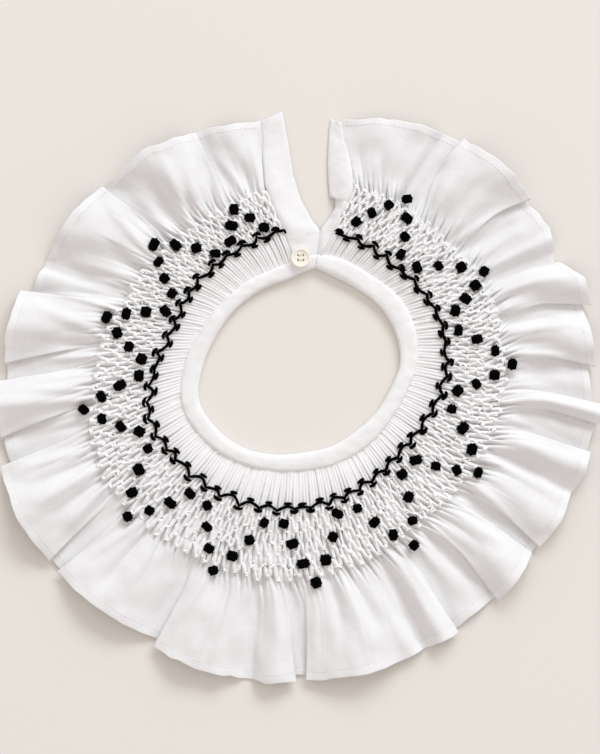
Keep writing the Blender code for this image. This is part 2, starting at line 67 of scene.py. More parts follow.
class Plan(NamedTuple):
    """Distances from the neck's middle at one angle."""

    angle_deg: float
    neck_mm: float
    band_mm: float
    wave_mm: float
    edge_mm: float


class Ends(NamedTuple):
    """Where the ruffle starts and ends at one distance from the neck's middle."""

    radius_mm: float
    start_deg: float
    end_deg: float


class Fold(NamedTuple):
    """One lobe of the ruffle, at its hem. A lap above 0 lies over the next lobe, one below 0 under it."""

    end_deg: float
    lap_mm: float
    start_mm: float
    middle_mm: float
    end_mm: float
    crest_mm: float


class Crease(NamedTuple):
    """A soft ridge, or a trough if its height is below 0, that runs out over the ruffle. Shares go from
    the smocking's edge, 0, to the hem, 1."""

    inner_deg: float
    outer_deg: float
    inner_share: float
    outer_share: float
    height_mm: float
    inner_width_mm: float
    outer_width_mm: float


class Point(NamedTuple):
    """A corner of the black points, where a knot sits."""

    angle_deg: float
    radius_mm: float


class VPoint(NamedTuple):
    """One of the smocking's points: its tip, and the furrows beside it."""

    tip: Point
    left: Point
    right: Point


class WaveStation(NamedTuple):
    """A numbered wave of the black row: its angle, and how far outside the plan's wave line it turns."""

    number: int
    angle_deg: float
    outer_mm: float
    inner_mm: float


class Wave(NamedTuple):
    """One wave of the black row: its outer and inner turn, as distances outside the plan's wave line."""

    outer_deg: float
    outer_mm: float
    inner_deg: float
    inner_mm: float


class PlacketRow(NamedTuple):
    """A line across a facing, from the ruffle's end to the edge of the opening."""

    ruffle_mm: float
    edge_deg: float
    edge_mm: float
    lift_mm: float


class BandPoint(NamedTuple):
    """A corner of the neckband's section: how far across it, as a share of its width and in millimetres more,
    how high over the surface or over its crown, and how much of each unevenness it takes."""

    width_share: float
    across_mm: float
    height_mm: float
    on_crown: float = 0.0
    pucker: float = 0.0
    broad: float = 0.0
    drag: float = 0.0
    drag_turn: float = 0.0
    sway: float = 0.0


class FacingPoint(NamedTuple):
    """A corner of a facing's section: how far across, from seam, 0, to fold, 1, and its share of the wall."""

    across: float
    rise: float


class StitchPoint(NamedTuple):
    """A point of a short stitch: its share of half the stitch, how far off its line, up for the white
    stitches and outward for the black ones, and its thickness."""

    along: float
    off_mm: float
    thick: float


PLAN = (
    Plan(9.0, 57.0, 65.2, 80.0, 110.0),
    Plan(21.0, 55.2, 66.4, 80.8, 111.0),
    Plan(39.0, 55.7, 66.6, 81.3, 112.0),
    Plan(57.0, 58.4, 70.7, 84.8, 115.8),
    Plan(75.0, 60.0, 71.2, 88.8, 121.6),
    Plan(90.6, 60.0, 69.6, 88.8, 123.0),
    Plan(105.0, 56.8, 66.4, 87.2, 123.0),
    Plan(123.0, 54.7, 64.2, 81.6, 121.6),
    Plan(141.0, 53.4, 64.2, 81.6, 120.0),
    Plan(159.0, 54.0, 64.2, 84.5, 123.0),
    Plan(177.0, 54.4, 64.8, 86.4, 127.8),
    Plan(195.0, 57.6, 66.9, 89.4, 132.0),
    Plan(213.0, 61.6, 70.7, 92.4, 132.0),
    Plan(231.0, 64.0, 73.8, 94.4, 134.4),
    Plan(249.0, 64.8, 75.2, 96.8, 133.6),
    Plan(267.0, 58.4, 69.6, 88.8, 122.4),
    Plan(285.0, 53.1, 63.2, 80.8, 115.2),
    Plan(303.0, 50.4, 59.2, 79.2, 107.2),
    Plan(321.0, 49.2, 57.6, 77.4, 103.8),
    Plan(339.0, 49.2, 57.4, 76.8, 102.4),
    Plan(353.4, 50.6, 59.6, 79.2, 105.0),
    Plan(362.0, 53.9, 62.6, 80.0, 106.0),
    Plan(370.0, 57.3, 65.4, 80.0, 107.0),
)

ENDS = (
    Ends(57.0, 10.5, 357.0),
    Ends(66.5, 11.9, 355.3),
    Ends(76.8, 13.7, 353.1),
    Ends(87.0, 15.1, 351.4),
    Ends(97.4, 16.2, 350.1),
    Ends(108.0, 17.0, 349.0),
    Ends(120.0, 14.9, 349.6),
    Ends(135.0, 11.4, 350.4),
    Ends(150.0, 9.0, 350.6),
)

FOLDS = (
    Fold(36.3, -6.5, 146.5, 157.0, 164.0, 7.0),
    Fold(54.7, 8.0, 165.6, 169.0, 170.0, 11.0),
    Fold(68.8, 0.0, 166.5, 170.5, 164.0, 6.0),
    Fold(78.8, 6.0, 167.0, 177.0, 178.0, 10.0),
    Fold(90.8, 7.0, 173.0, 175.5, 177.0, 10.0),
    Fold(98.1, -4.5, 173.0, 175.0, 177.5, 2.5),
    Fold(101.7, 4.0, 182.0, 184.5, 183.0, 8.0),
    Fold(107.4, -5.0, 181.0, 181.0, 181.0, 2.5),
    Fold(115.8, 0.0, 182.0, 183.0, 181.0, 8.5),
    Fold(127.6, 5.0, 181.0, 183.0, 182.0, 9.0),
    Fold(129.6, -5.0, 180.5, 180.5, 180.5, 0.5),
    Fold(140.2, 7.0, 180.0, 184.0, 186.0, 10.0),
    Fold(149.7, -5.0, 184.0, 184.0, 185.0, 3.0),
    Fold(156.2, 0.0, 188.0, 188.0, 188.0, 9.0),
    Fold(178.8, 5.0, 188.0, 190.5, 191.2, 11.0),
    Fold(180.8, -5.0, 188.0, 188.0, 188.0, 0.5),
    Fold(189.6, 0.0, 192.0, 193.2, 193.0, 8.0),
    Fold(207.2, 8.0, 193.0, 194.0, 192.0, 11.0),
    Fold(229.1, 7.0, 187.0, 190.0, 192.0, 11.0),
    Fold(231.6, -7.0, 190.5, 190.5, 190.5, 1.0),
    Fold(250.7, 8.0, 192.0, 193.0, 190.0, 11.5),
    Fold(255.8, -6.0, 184.0, 184.0, 184.0, 2.0),
    Fold(266.2, 7.0, 185.0, 186.5, 184.0, 10.0),
    Fold(269.7, -5.0, 177.0, 177.0, 177.0, 1.0),
    Fold(284.2, 7.0, 177.0, 176.0, 173.0, 10.0),
    Fold(290.5, 0.0, 166.5, 166.0, 165.0, 4.0),
    Fold(311.4, 9.0, 165.0, 163.0, 159.0, 11.5),
    Fold(335.3, 7.5, 157.6, 157.5, 151.5, 11.5),
    Fold(350.6, 0.0, 152.0, 148.5, 146.5, 7.0),
)

CREASES = (
    Crease(21.0, 20.5, 0.0, 0.55, 1.6, 2.0, 6.0),
    Crease(25.8, 24.8, 0.0, 0.80, 1.4, 2.0, 8.0),
    Crease(29.4, 29.6, 0.0, 1.00, 2.0, 2.5, 7.0),
    Crease(31.9, 32.6, 0.0, 1.00, -1.8, 2.5, 5.0),
    Crease(35.5, 36.6, 0.0, 0.80, -3.2, 5.0, 3.0),
    Crease(42.0, 39.0, 0.0, 0.70, 1.7, 2.5, 7.0),
    Crease(46.0, 45.0, 0.15, 0.90, -2.0, 4.0, 12.0),
    Crease(49.5, 49.0, 0.0, 0.45, 1.3, 2.0, 5.0),
    Crease(52.0, 54.2, 0.0, 0.85, 1.9, 2.0, 5.0),
    Crease(55.6, 57.6, 0.0, 0.90, -2.0, 3.0, 4.0),
    Crease(59.6, 59.0, 0.0, 0.80, 1.5, 2.0, 6.0),
    Crease(63.4, 64.0, 0.0, 1.00, 1.8, 2.0, 6.0),
    Crease(66.6, 67.6, 0.0, 1.00, -2.6, 3.0, 5.0),
    Crease(70.6, 71.6, 0.1, 0.90, 1.4, 3.0, 5.0),
    Crease(73.4, 72.6, 0.0, 0.50, -1.8, 2.0, 5.0),
    Crease(75.6, 76.4, 0.0, 0.60, 1.5, 2.0, 6.0),
    Crease(79.3, 80.4, 0.0, 0.80, -2.4, 4.0, 3.0),
    Crease(82.0, 81.6, 0.0, 0.95, 1.7, 2.0, 5.0),
    Crease(85.0, 85.6, 0.0, 0.70, -1.4, 2.0, 6.0),
    Crease(87.4, 89.0, 0.0, 0.80, 1.8, 2.0, 4.0),
    Crease(92.4, 92.2, 0.0, 0.90, -1.6, 3.0, 4.0),
    Crease(96.3, 95.2, 0.0, 0.75, 1.3, 2.0, 4.0),
    Crease(104.8, 107.0, 0.0, 0.80, 1.2, 2.0, 4.0),
    Crease(110.2, 109.6, 0.0, 1.00, 1.5, 2.5, 8.0),
    Crease(115.4, 113.0, 0.0, 0.90, -2.4, 2.5, 7.0),
    Crease(117.6, 117.2, 0.0, 1.00, 1.8, 2.0, 7.0),
    Crease(122.6, 123.2, 0.0, 0.45, -1.3, 2.0, 5.0),
    Crease(125.0, 127.0, 0.0, 0.75, 1.5, 2.5, 4.0),
    Crease(128.4, 128.7, 0.0, 0.60, -2.2, 8.0, 2.0),
    Crease(134.6, 130.6, 0.0, 0.90, 1.6, 2.5, 6.0),
    Crease(138.4, 133.4, 0.0, 0.75, -1.8, 2.5, 7.0),
    Crease(141.8, 138.8, 0.0, 0.90, 1.6, 2.0, 6.0),
    Crease(143.8, 141.6, 0.0, 0.90, -1.6, 3.0, 4.0),
    Crease(147.4, 144.6, 0.05, 0.80, 1.3, 2.5, 7.0),
    Crease(152.2, 150.2, 0.0, 0.95, 1.3, 2.0, 4.0),
    Crease(157.6, 156.4, 0.0, 1.00, -2.6, 3.0, 3.0),
    Crease(163.6, 158.4, 0.0, 1.00, 1.7, 3.0, 8.0),
    Crease(167.4, 161.8, 0.0, 0.80, -1.6, 2.5, 7.0),
    Crease(169.8, 164.8, 0.0, 0.95, 1.8, 2.0, 8.0),
    Crease(171.6, 170.6, 0.05, 0.80, -2.4, 2.5, 8.0),
    Crease(175.6, 177.6, 0.0, 0.90, 1.5, 3.0, 6.0),
    Crease(181.8, 179.8, 0.0, 0.90, -1.8, 4.0, 3.0),
    Crease(186.6, 183.2, 0.0, 0.85, 1.6, 2.0, 6.0),
    Crease(191.2, 189.4, 0.0, 1.00, -3.0, 3.0, 4.0),
    Crease(194.0, 192.4, 0.0, 0.90, 1.5, 3.0, 7.0),
    Crease(197.4, 198.0, 0.0, 1.00, -2.0, 2.0, 7.0),
    Crease(203.0, 206.4, 0.0, 0.90, 1.7, 3.0, 5.0),
    Crease(207.0, 208.0, 0.0, 0.70, -2.2, 6.0, 3.0),
    Crease(213.6, 209.4, 0.0, 0.85, 1.6, 3.0, 7.0),
    Crease(218.8, 216.4, 0.0, 0.60, 1.6, 2.0, 8.0),
    Crease(222.0, 221.2, 0.0, 0.90, -2.4, 2.0, 8.0),
    Crease(225.0, 228.2, 0.0, 0.90, 1.8, 2.5, 5.0),
    Crease(231.0, 231.0, 0.0, 0.80, -1.6, 4.0, 3.0),
    Crease(237.4, 233.4, 0.0, 0.90, 1.7, 2.5, 6.0),
    Crease(239.4, 237.4, 0.0, 0.80, -2.2, 2.0, 7.0),
    Crease(242.4, 241.6, 0.0, 0.95, 1.9, 2.0, 8.0),
    Crease(244.8, 245.2, 0.0, 0.90, -2.2, 2.5, 6.0),
    Crease(247.4, 249.8, 0.0, 0.95, 1.8, 2.5, 4.0),
    Crease(254.2, 254.2, 0.0, 0.95, -1.8, 3.0, 3.0),
    Crease(257.8, 256.8, 0.0, 0.95, 1.6, 2.5, 4.0),
    Crease(260.0, 262.4, 0.0, 1.00, 1.7, 2.0, 6.0),
    Crease(262.4, 265.2, 0.0, 0.85, 1.2, 2.0, 3.0),
    Crease(268.0, 268.0, 0.0, 1.00, -1.8, 3.0, 3.0),
    Crease(271.6, 270.4, 0.0, 0.90, 1.6, 2.0, 4.0),
    Crease(274.6, 274.4, 0.0, 0.75, -1.9, 2.0, 8.0),
    Crease(278.0, 283.4, 0.0, 0.95, 2.0, 2.0, 5.0),
    Crease(286.0, 286.4, 0.0, 0.90, 1.3, 2.0, 4.0),
    Crease(291.0, 290.9, 0.0, 1.00, -3.0, 4.0, 4.0),
    Crease(297.0, 293.0, 0.0, 0.85, 1.8, 2.5, 7.0),
    Crease(300.4, 301.4, 0.0, 0.60, -2.6, 2.0, 10.0),
    Crease(305.2, 310.6, 0.0, 0.90, 1.9, 3.0, 5.0),
    Crease(311.6, 312.0, 0.0, 0.60, -2.6, 6.0, 3.0),
    Crease(314.4, 317.2, 0.0, 0.90, 1.6, 2.5, 8.0),
    Crease(318.6, 320.6, 0.1, 0.90, -1.6, 3.0, 8.0),
    Crease(321.6, 327.4, 0.0, 0.95, 1.9, 2.0, 6.0),
    Crease(324.6, 334.6, 0.0, 0.95, 2.2, 2.5, 6.0),
    Crease(330.0, 335.8, 0.0, 0.70, -2.4, 5.0, 4.0),
    Crease(342.4, 337.0, 0.0, 0.75, 1.8, 2.0, 5.0),
    Crease(344.6, 342.0, 0.0, 0.80, -1.6, 2.0, 7.0),
    Crease(347.6, 347.4, 0.0, 0.90, 1.4, 2.0, 5.0),
)

V_POINTS = (
    VPoint(Point(33.3, 116.8), Point(21.9, 90.4), Point(43.2, 88.3)),
    VPoint(Point(63.8, 122.9), Point(51.0, 90.1), Point(71.7, 97.9)),
    VPoint(Point(90.6, 127.2), Point(78.7, 96.8), Point(100.3, 96.0)),
    VPoint(Point(121.8, 125.6), Point(107.2, 95.2), Point(130.3, 90.9)),
    VPoint(Point(148.1, 129.3), Point(137.7, 90.9), Point(158.6, 94.1)),
    VPoint(Point(175.8, 132.5), Point(166.1, 93.6), Point(185.7, 97.3)),
    VPoint(Point(202.6, 135.2), Point(192.5, 98.7), Point(212.9, 102.4)),
    VPoint(Point(228.1, 138.7), Point(219.9, 102.7), Point(240.3, 104.8)),
    VPoint(Point(257.6, 132.8), Point(246.6, 104.8), Point(265.1, 96.8)),
    VPoint(Point(283.0, 118.9), Point(271.1, 94.9), Point(290.6, 86.1)),
    VPoint(Point(308.8, 112.3), Point(298.1, 86.9), Point(322.0, 82.4)),
    VPoint(Point(336.6, 99.5), Point(329.9, 83.4), Point(345.0, 83.4)),
)
WAVE_STATIONS = (
    WaveStation(0, 17.0, 2.4, -2.8),
    WaveStation(6, 62.0, 1.6, -3.2),
    WaveStation(12, 103.0, 2.0, -3.5),
    WaveStation(18, 149.0, 3.5, -2.8),
    WaveStation(24, 189.0, 3.5, -2.2),
    WaveStation(30, 231.0, 3.0, -3.8),
    WaveStation(36, 267.0, 1.3, -4.8),
    WaveStation(42, 310.0, 1.5, -3.3),
    WaveStation(48, 357.0, 2.6, -1.6),
)
LAST_POINT_STEPS = (0.0, 0.5, 1.0)
POINT_STEPS = (0.0, 1 / 3, 2 / 3, 1.0)

PLACKET_RIGHT = (
    PlacketRow(64.4, 8.3, 64.0, 0.0),
    PlacketRow(67.0, 7.9, 66.4, 0.0),
    PlacketRow(73.0, 7.7, 72.0, 0.0),
    PlacketRow(80.0, 8.4, 80.0, 0.0),
    PlacketRow(88.0, 11.4, 88.5, 0.3),
    PlacketRow(95.0, 12.8, 95.0, 0.6),
    PlacketRow(99.4, 12.3, 99.8, 0.6),
    PlacketRow(100.8, 10.1, 101.2, 0.6),
    PlacketRow(109.0, 8.9, 110.0, 0.4),
    PlacketRow(120.0, 7.9, 120.0, 0.3),
    PlacketRow(133.0, 7.3, 134.0, 0.2),
    PlacketRow(140.5, 7.1, 141.0, 0.0),
    PlacketRow(146.4, 7.2, 147.4, 0.0),
)
PLACKET_LEFT = (
    PlacketRow(58.6, 368.9, 64.2, 1.2),
    PlacketRow(61.4, 369.0, 66.4, 1.6),
    PlacketRow(68.0, 368.8, 72.0, 1.6),
    PlacketRow(76.0, 368.8, 79.6, 1.4),
    PlacketRow(84.0, 364.4, 86.6, 0.5),
    PlacketRow(94.0, 360.4, 97.2, 0.5),
    PlacketRow(108.0, 358.0, 111.7, 0.6),
    PlacketRow(124.0, 357.1, 128.6, 0.5),
    PlacketRow(136.0, 356.5, 140.0, 0.3),
    PlacketRow(146.5, 355.9, 151.0, 0.0),
)

BAND_SECTION = (
    BandPoint(0.0, 6.2, 0.15),
    BandPoint(0.0, 4.0, 0.02),
    BandPoint(0.0, 1.5, 0.02),
    BandPoint(0.0, 0.5, 0.25),
    BandPoint(0.0, 0.08, 0.8),
    BandPoint(0.0, 0.0, 1.6),
    BandPoint(0.0, 0.15, 2.6),
    BandPoint(0.0, 0.6, 3.55),
    BandPoint(0.0, 1.4, -0.3, on_crown=1.0),
    BandPoint(0.36, 0.0, 0.02, on_crown=1.0, broad=1.0, drag=1.0),
    BandPoint(0.6, 0.0, 0.0, on_crown=1.0, pucker=0.4, broad=1.0, drag=1.0, drag_turn=1.3),
    BandPoint(0.82, 0.0, -0.08, on_crown=1.0, pucker=1.0, broad=0.6, drag=1.0, drag_turn=2.6),
    BandPoint(0.91, 0.0, -0.35, on_crown=1.0, pucker=1.0),
    BandPoint(1.0, -0.3, 3.5, pucker=0.5, sway=0.3),
    BandPoint(1.0, 0.0, 2.95, sway=0.3),
    BandPoint(1.0, -0.1, 2.7, sway=0.3),
    BandPoint(0.6, 0.0, 2.65),
    BandPoint(0.0, 2.0, 2.6),
    BandPoint(0.0, 1.7, 2.0),
    BandPoint(0.0, 2.0, 1.2),
    BandPoint(0.0, 4.0, 0.95),
    BandPoint(0.0, 6.2, 0.8),
)
FACING_SECTION = (
    FacingPoint(0.0, -0.9),
    FacingPoint(0.04, 0.1),
    FacingPoint(0.1, 0.5),
    FacingPoint(0.18, 0.8),
    FacingPoint(0.28, 0.95),
    FacingPoint(0.42, 0.98),
    FacingPoint(0.56, 1.0),
    FacingPoint(0.7, 1.02),
    FacingPoint(0.82, 1.0),
    FacingPoint(0.9, 0.95),
    FacingPoint(0.955, 0.82),
    FacingPoint(0.985, 0.6),
    FacingPoint(1.0, 0.38),
    FacingPoint(0.99, 0.14),
    FacingPoint(0.96, 0.0),
    FacingPoint(0.75, 0.0),
    FacingPoint(0.5, 0.0),
    FacingPoint(0.25, -0.1),
    FacingPoint(0.05, -0.9),
)
BAR_STITCH = (
    StitchPoint(-1.0, -0.7, 0.6),
    StitchPoint(-0.6, 0.25, 1.0),
    StitchPoint(0.0, 0.45, 1.1),
    StitchPoint(0.6, 0.25, 1.0),
    StitchPoint(1.0, -0.7, 0.6),
)
STRAY_STITCH = (
    StitchPoint(-1.0, -0.5, 0.5),
    StitchPoint(-0.4, 0.2, 1.0),
    StitchPoint(0.4, 0.2, 1.0),
    StitchPoint(1.0, -0.5, 0.5),
)
OUTER_TURN_STITCH = (
    StitchPoint(-1.0, -0.5, 0.65),
    StitchPoint(-0.7, -0.1, 1.0),
    StitchPoint(-0.2, 0.2, 1.2),
    StitchPoint(0.3, 0.05, 1.2),
    StitchPoint(0.7, -0.45, 1.0),
    StitchPoint(1.05, -1.0, 0.65),
)
INNER_TURN_STITCH = (
    StitchPoint(-1.0, 0.1, 0.75),
    StitchPoint(-0.6, 0.0, 1.05),
    StitchPoint(0.0, -0.1, 1.1),
    StitchPoint(0.6, 0.05, 1.05),
    StitchPoint(1.0, 0.15, 0.75),
)


def smooth(value: np.ndarray) -> np.ndarray:
    """A soft step from 0 to 1."""
    held = np.clip(value, 0.0, 1.0)
    return held * held * (3.0 - 2.0 * held)


def unit(vectors: np.ndarray) -> np.ndarray:
    """The vectors at length 1, along the last axis."""
    return vectors / np.maximum(np.linalg.norm(vectors, axis=-1, keepdims=True), 1e-12)


def uneven(share: np.ndarray, count: int, spread: float, noise: np.random.Generator) -> np.ndarray:
    """An uneven line, straight between points that are spaced evenly.

    Args:
        share: where to read it, from 0 to 1.
        count: how many points it has.
        spread: how far they are spread about 0.
        noise: their source.

    Returns:
        Its value at each share.
    """
    return np.interp(share, np.linspace(0.0, 1.0, count), noise.normal(0.0, spread, count))


@dataclass(frozen=True)
class CollarPlan:
    """The collar's outline, seen from above."""

    centre_x_mm: float = 1.2
    centre_y_mm: float = 20.9
    solid_columns: int = 344
    lobe_columns: int = 4
    cloth_share: float = 0.4
    fold_start_deg: float = 9.0
    layers_mm: tuple[float, float, float] = (0.5, 2.2, 3.9)
    crest_sharpness: float = 1.3
    turn_mm: float = 1.9

    def value(self, column: str, angle_deg: np.ndarray) -> np.ndarray:
        """A column of the plan at any angle, along a smooth curve through its rows.

        Args:
            column: the name of one of Plan's distances.
            angle_deg: the angles to read it at.

        Returns:
            The distances from the neck's middle, in millimetres.
        """
        angles = np.array([row.angle_deg for row in PLAN])
        values = np.array([getattr(row, column) for row in PLAN])
        slopes = np.gradient(values, angles)
        low = np.clip(np.searchsorted(angles, angle_deg) - 1, 0, len(angles) - 2)
        step = angles[low + 1] - angles[low]
        t = np.clip((angle_deg - angles[low]) / step, 0.0, 1.0)
        near = (2 * t**3 - 3 * t**2 + 1) * values[low] + (t**3 - 2 * t**2 + t) * step * slopes[low]
        far = (3 * t**2 - 2 * t**3) * values[low + 1] + (t**3 - t**2) * step * slopes[low + 1]
        return near + far

    def end(self, column: str, radius_mm: np.ndarray) -> np.ndarray:
        """The angle at which the ruffle starts or ends, at a distance from the neck's middle."""
        return np.interp(radius_mm, [row.radius_mm for row in ENDS], [getattr(row, column) for row in ENDS])

    def column_angle(self, share: np.ndarray, radius_mm: np.ndarray) -> np.ndarray:
        """The angle of a line of the cloth that is gathered evenly.

        Args:
            share: how far along the cloth the line is, from 0 to 1.
            radius_mm: the distance from the neck's middle.

        Returns:
            The angles, in degrees.
        """
        start = self.end("start_deg", radius_mm)
        return start + (self.end("end_deg", radius_mm) - start) * share

    def place(self, angle_deg: np.ndarray, radius_mm: np.ndarray, height_mm: np.ndarray) -> np.ndarray:
        """Where points lie in the frame.

        Args:
            angle_deg: their angles.
            radius_mm: their distances from the neck's middle.
            height_mm: their heights.

        Returns:
            The points in metres, in the last axis.
        """
        angle = np.radians(angle_deg)
        x = self.centre_x_mm + radius_mm * np.sin(angle)
        y = self.centre_y_mm + radius_mm * np.cos(angle)
        return np.stack(np.broadcast_arrays(x, y, height_mm), axis=-1) * MM

    def lobe_line(self, fold: Fold, start_deg: float, lap_before: float) -> np.ndarray:
        """One lobe's hem, from the layer it starts on to the layer it ends on.

        Args:
            fold: the lobe.
            start_deg: where it starts to show.
            lap_before: the lap of the lobe before it.

        Returns:
            Rows of angle, distance, layer height and crest height.
        """
        lower, _, upper = self.layers_mm
        first = start_deg - math.degrees(max(lap_before, 0.0) / fold.start_mm)
        last = fold.end_deg + math.degrees(max(-fold.lap_mm, 0.0) / fold.end_mm)
        angle = np.linspace(first, last, 193)
        shown = np.clip((angle - start_deg) / (fold.end_deg - start_deg), 0.0, 1.0)
        radius = np.interp(shown, (0.0, 0.5, 1.0), (fold.start_mm, fold.middle_mm, fold.end_mm))
        start_height = upper if lap_before < 0 else lower
        end_height = upper if fold.lap_mm > 0 else lower
        layer = start_height + (end_height - start_height) * smooth(shown)
        crest = fold.crest_mm * np.sin(np.pi * shown) ** self.crest_sharpness
        return np.stack([angle, radius, layer, crest], axis=1)

    def hem(self, share: np.ndarray) -> np.ndarray:
        """The hem's line, which laps back where one lobe lies over the next.

        Args:
            share: how far along the cloth, from 0 to 1.

        Returns:
            A row of angle, distance, layer height and crest height for each share.
        """
        lobes = []
        start_deg, lap_before = self.fold_start_deg, 0.0
        for fold in FOLDS:
            lobes.append(self.lobe_line(fold, start_deg, lap_before))
            start_deg, lap_before = fold.end_deg, fold.lap_mm
        laps = np.array([abs(fold.lap_mm) * MM for fold in FOLDS])
        runs = []
        for lobe in lobes:
            places = self.place(lobe[:, 0], lobe[:, 1], lobe[:, 2] + lobe[:, 3])
            steps = np.linalg.norm(np.diff(places, axis=0), axis=1)
            runs.append(np.concatenate([[0.0], np.cumsum(steps)]))
        reach = np.cumsum([run[-1] + lap for run, lap in zip(runs, laps)])
        by_cloth = (reach - laps / 2) / reach[-1]
        ends_deg = np.array([fold.end_deg for fold in FOLDS])
        by_angle = (ends_deg - self.fold_start_deg) / (start_deg - self.fold_start_deg)
        mixed = by_angle + (by_cloth - by_angle) * self.cloth_share
        ends = np.round(mixed * self.solid_columns).astype(int)
        for k in range(1, len(ends)):
            ends[k] = max(ends[k], ends[k - 1] + self.lobe_columns)
        column = share * self.solid_columns
        rows = np.zeros((len(share), 4))
        first = 0
        for lobe, run, end, lap in zip(lobes, runs, ends, laps):
            last = end - 1 if lap else end
            held = (column >= first) & (column <= last)
            at = (column[held] - first) / (last - first) * run[-1]
            for k in range(4):
                rows[held, k] = np.interp(at, run, lobe[:, k])
            first = end + 1 if lap else end
        for lobe, after, end, lap in zip(lobes, lobes[1:], ends, laps):
            if lap:
                held = (column > end - 1) & (column < end + 1)
                t = ((column[held] - end + 1) / 2)[:, None]
                turn = np.array([math.degrees(self.turn_mm / lobe[-1, 1]), 0.0, 0.0, 0.0])
                out, back = lobe[-1] + turn, after[0] - turn
                bent = (1 - t) ** 3 * lobe[-1] + 3 * (1 - t) ** 2 * t * out
                rows[held] = bent + 3 * (1 - t) * t**2 * back + t**3 * after[0]
        return rows


@dataclass(frozen=True)
class Nodes:
    """The nodes of one material or one group, with short ways to add to them."""

    tree: bpy.types.NodeTree

    def add(self, kind: str, values: dict[str, Any] | None = None, **settings: Any) -> bpy.types.Node:
        """Adds a node.

        Args:
            kind: the shader node's type, without its prefix.
            values: what its input sockets start at.
            settings: its own settings, which are made first.

        Returns:
            The node.
        """
        node = self.tree.nodes.new("ShaderNode" + kind)
        for name, setting in settings.items():
            setattr(node, name, setting)
        for label, value in (values or {}).items():
            node.inputs[label].default_value = value
        return node

    def join(self, start: bpy.types.Node, output: str, end: bpy.types.Node, label: str) -> None:
        """Links an output of one node to an input of another."""
        self.tree.links.new(start.outputs[output], end.inputs[label])

    def mottle(
        self, shader: bpy.types.Node, source: tuple[bpy.types.Node, str], noise: dict[str, float],
        colours: tuple[Colour, Colour],
    ) -> bpy.types.Node:
        """Gives a shader a cloudy mix of two colours.

        Args:
            shader: the shader.
            source: the node and the output that say where a point is.
            noise: what the cloudy texture's sockets start at.
            colours: the colours at its low and at its high places.

        Returns:
            The cloudy texture.
        """
        clouds = self.add("TexNoise", noise)
        self.join(*source, clouds, "Vector")
        colour = self.add("Mix", {"A": (*colours[0], 1.0), "B": (*colours[1], 1.0)}, data_type="RGBA")
        self.join(clouds, "Fac", colour, "Factor")
        self.join(colour, "Result", shader, "Base Color")
        return clouds


def new_material(name: str, values: dict[str, float]) -> tuple[bpy.types.Material, Nodes, bpy.types.Node]:
    """Starts a material.

    Args:
        name: its name.
        values: what its shader's sockets are set to.

    Returns:
        The material, its nodes and its shader.
    """
    made = bpy.data.materials.new(name)
    made.use_nodes = True
    shader = made.node_tree.nodes["Principled BSDF"]
    for label, value in values.items():
        shader.inputs[label].default_value = value
    return made, Nodes(made.node_tree), shader


@dataclass(frozen=True)
class Effects:
    """Shader node groups that several materials use, built once."""

    groups: dict[str, bpy.types.NodeTree] = field(default_factory=dict)

    def new_group(
        self, name: str, inputs: dict[str, tuple[str, float]], outputs: dict[str, str]
    ) -> tuple[Nodes, bpy.types.Node, bpy.types.Node]:
        """Starts a node group with named sockets.

        Args:
            name: the group's name.
            inputs: for each input socket, its kind and the value it starts at.
            outputs: for each output socket, its kind.

        Returns:
            The group's nodes, its input node and its output node.
        """
        group = bpy.data.node_groups.new(name, "ShaderNodeTree")
        for label, (kind, value) in inputs.items():
            socket = group.interface.new_socket(label, in_out="INPUT", socket_type=f"NodeSocket{kind}")
            if kind == "Float":
                socket.default_value = value
        for label, kind in outputs.items():
            group.interface.new_socket(label, in_out="OUTPUT", socket_type=f"NodeSocket{kind}")
        self.groups[name] = group
        return Nodes(group), group.nodes.new("NodeGroupInput"), group.nodes.new("NodeGroupOutput")

    def weave(self) -> bpy.types.NodeTree:
        """A plain weave: warp over weft in turn, with its yarns uneven.

        Returns:
            The node group.
        """
        if "plain_weave" not in self.groups:
            sockets = {"Vector": ("Vector", 0.0), "Threads": ("Float", 2400.0)}
            nodes, start, end = self.new_group("plain_weave", sockets, {"Height": "Float", "Slubs": "Float"})
            over = nodes.add("Mix")
            checker = nodes.add("TexChecker")
            warp = nodes.add("TexWave", {"Distortion": 0.6}, bands_direction="X")
            weft = nodes.add("TexWave", {"Distortion": 0.6}, bands_direction="Y")
            for texture, label in ((checker, "Factor"), (warp, "A"), (weft, "B")):
                nodes.join(start, "Vector", texture, "Vector")
                nodes.join(start, "Threads", texture, "Scale")
                nodes.join(texture, "Fac", over, label)
            nodes.join(over, "Result", end, "Height")
            stretch = nodes.add("Mapping", {"Scale": (1.0, 14.0, 1.0)})
            nodes.join(start, "Vector", stretch, "Vector")
            slubs = nodes.add("TexNoise", {"Scale": 160.0, "Detail": 3.0})
            nodes.join(stretch, "Vector", slubs, "Vector")
            nodes.join(slubs, "Fac", end, "Slubs")
        return self.groups["plain_weave"]

    def crumple(self) -> bpy.types.NodeTree:
        """Faint handling marks, as a height and as a tone.

        Returns:
            The node group.
        """
        if "soft_crumple" not in self.groups:
            sockets = {"Vector": ("Vector", 0.0), "Size": ("Float", 60.0)}
            nodes, start, end = self.new_group("soft_crumple", sockets, {"Height": "Float", "Tone": "Float"})
            marks = nodes.add("TexNoise", {"Detail": 4.0, "Roughness": 0.55})
            nodes.join(start, "Vector", marks, "Vector")
            nodes.join(start, "Size", marks, "Scale")
            tone = nodes.add("MapRange", {"From Min": 0.35, "From Max": 0.65})
            nodes.join(marks, "Fac", tone, "Value")
            nodes.join(marks, "Fac", end, "Height")
            nodes.join(tone, "Result", end, "Tone")
        return self.groups["soft_crumple"]


EFFECTS = Effects()


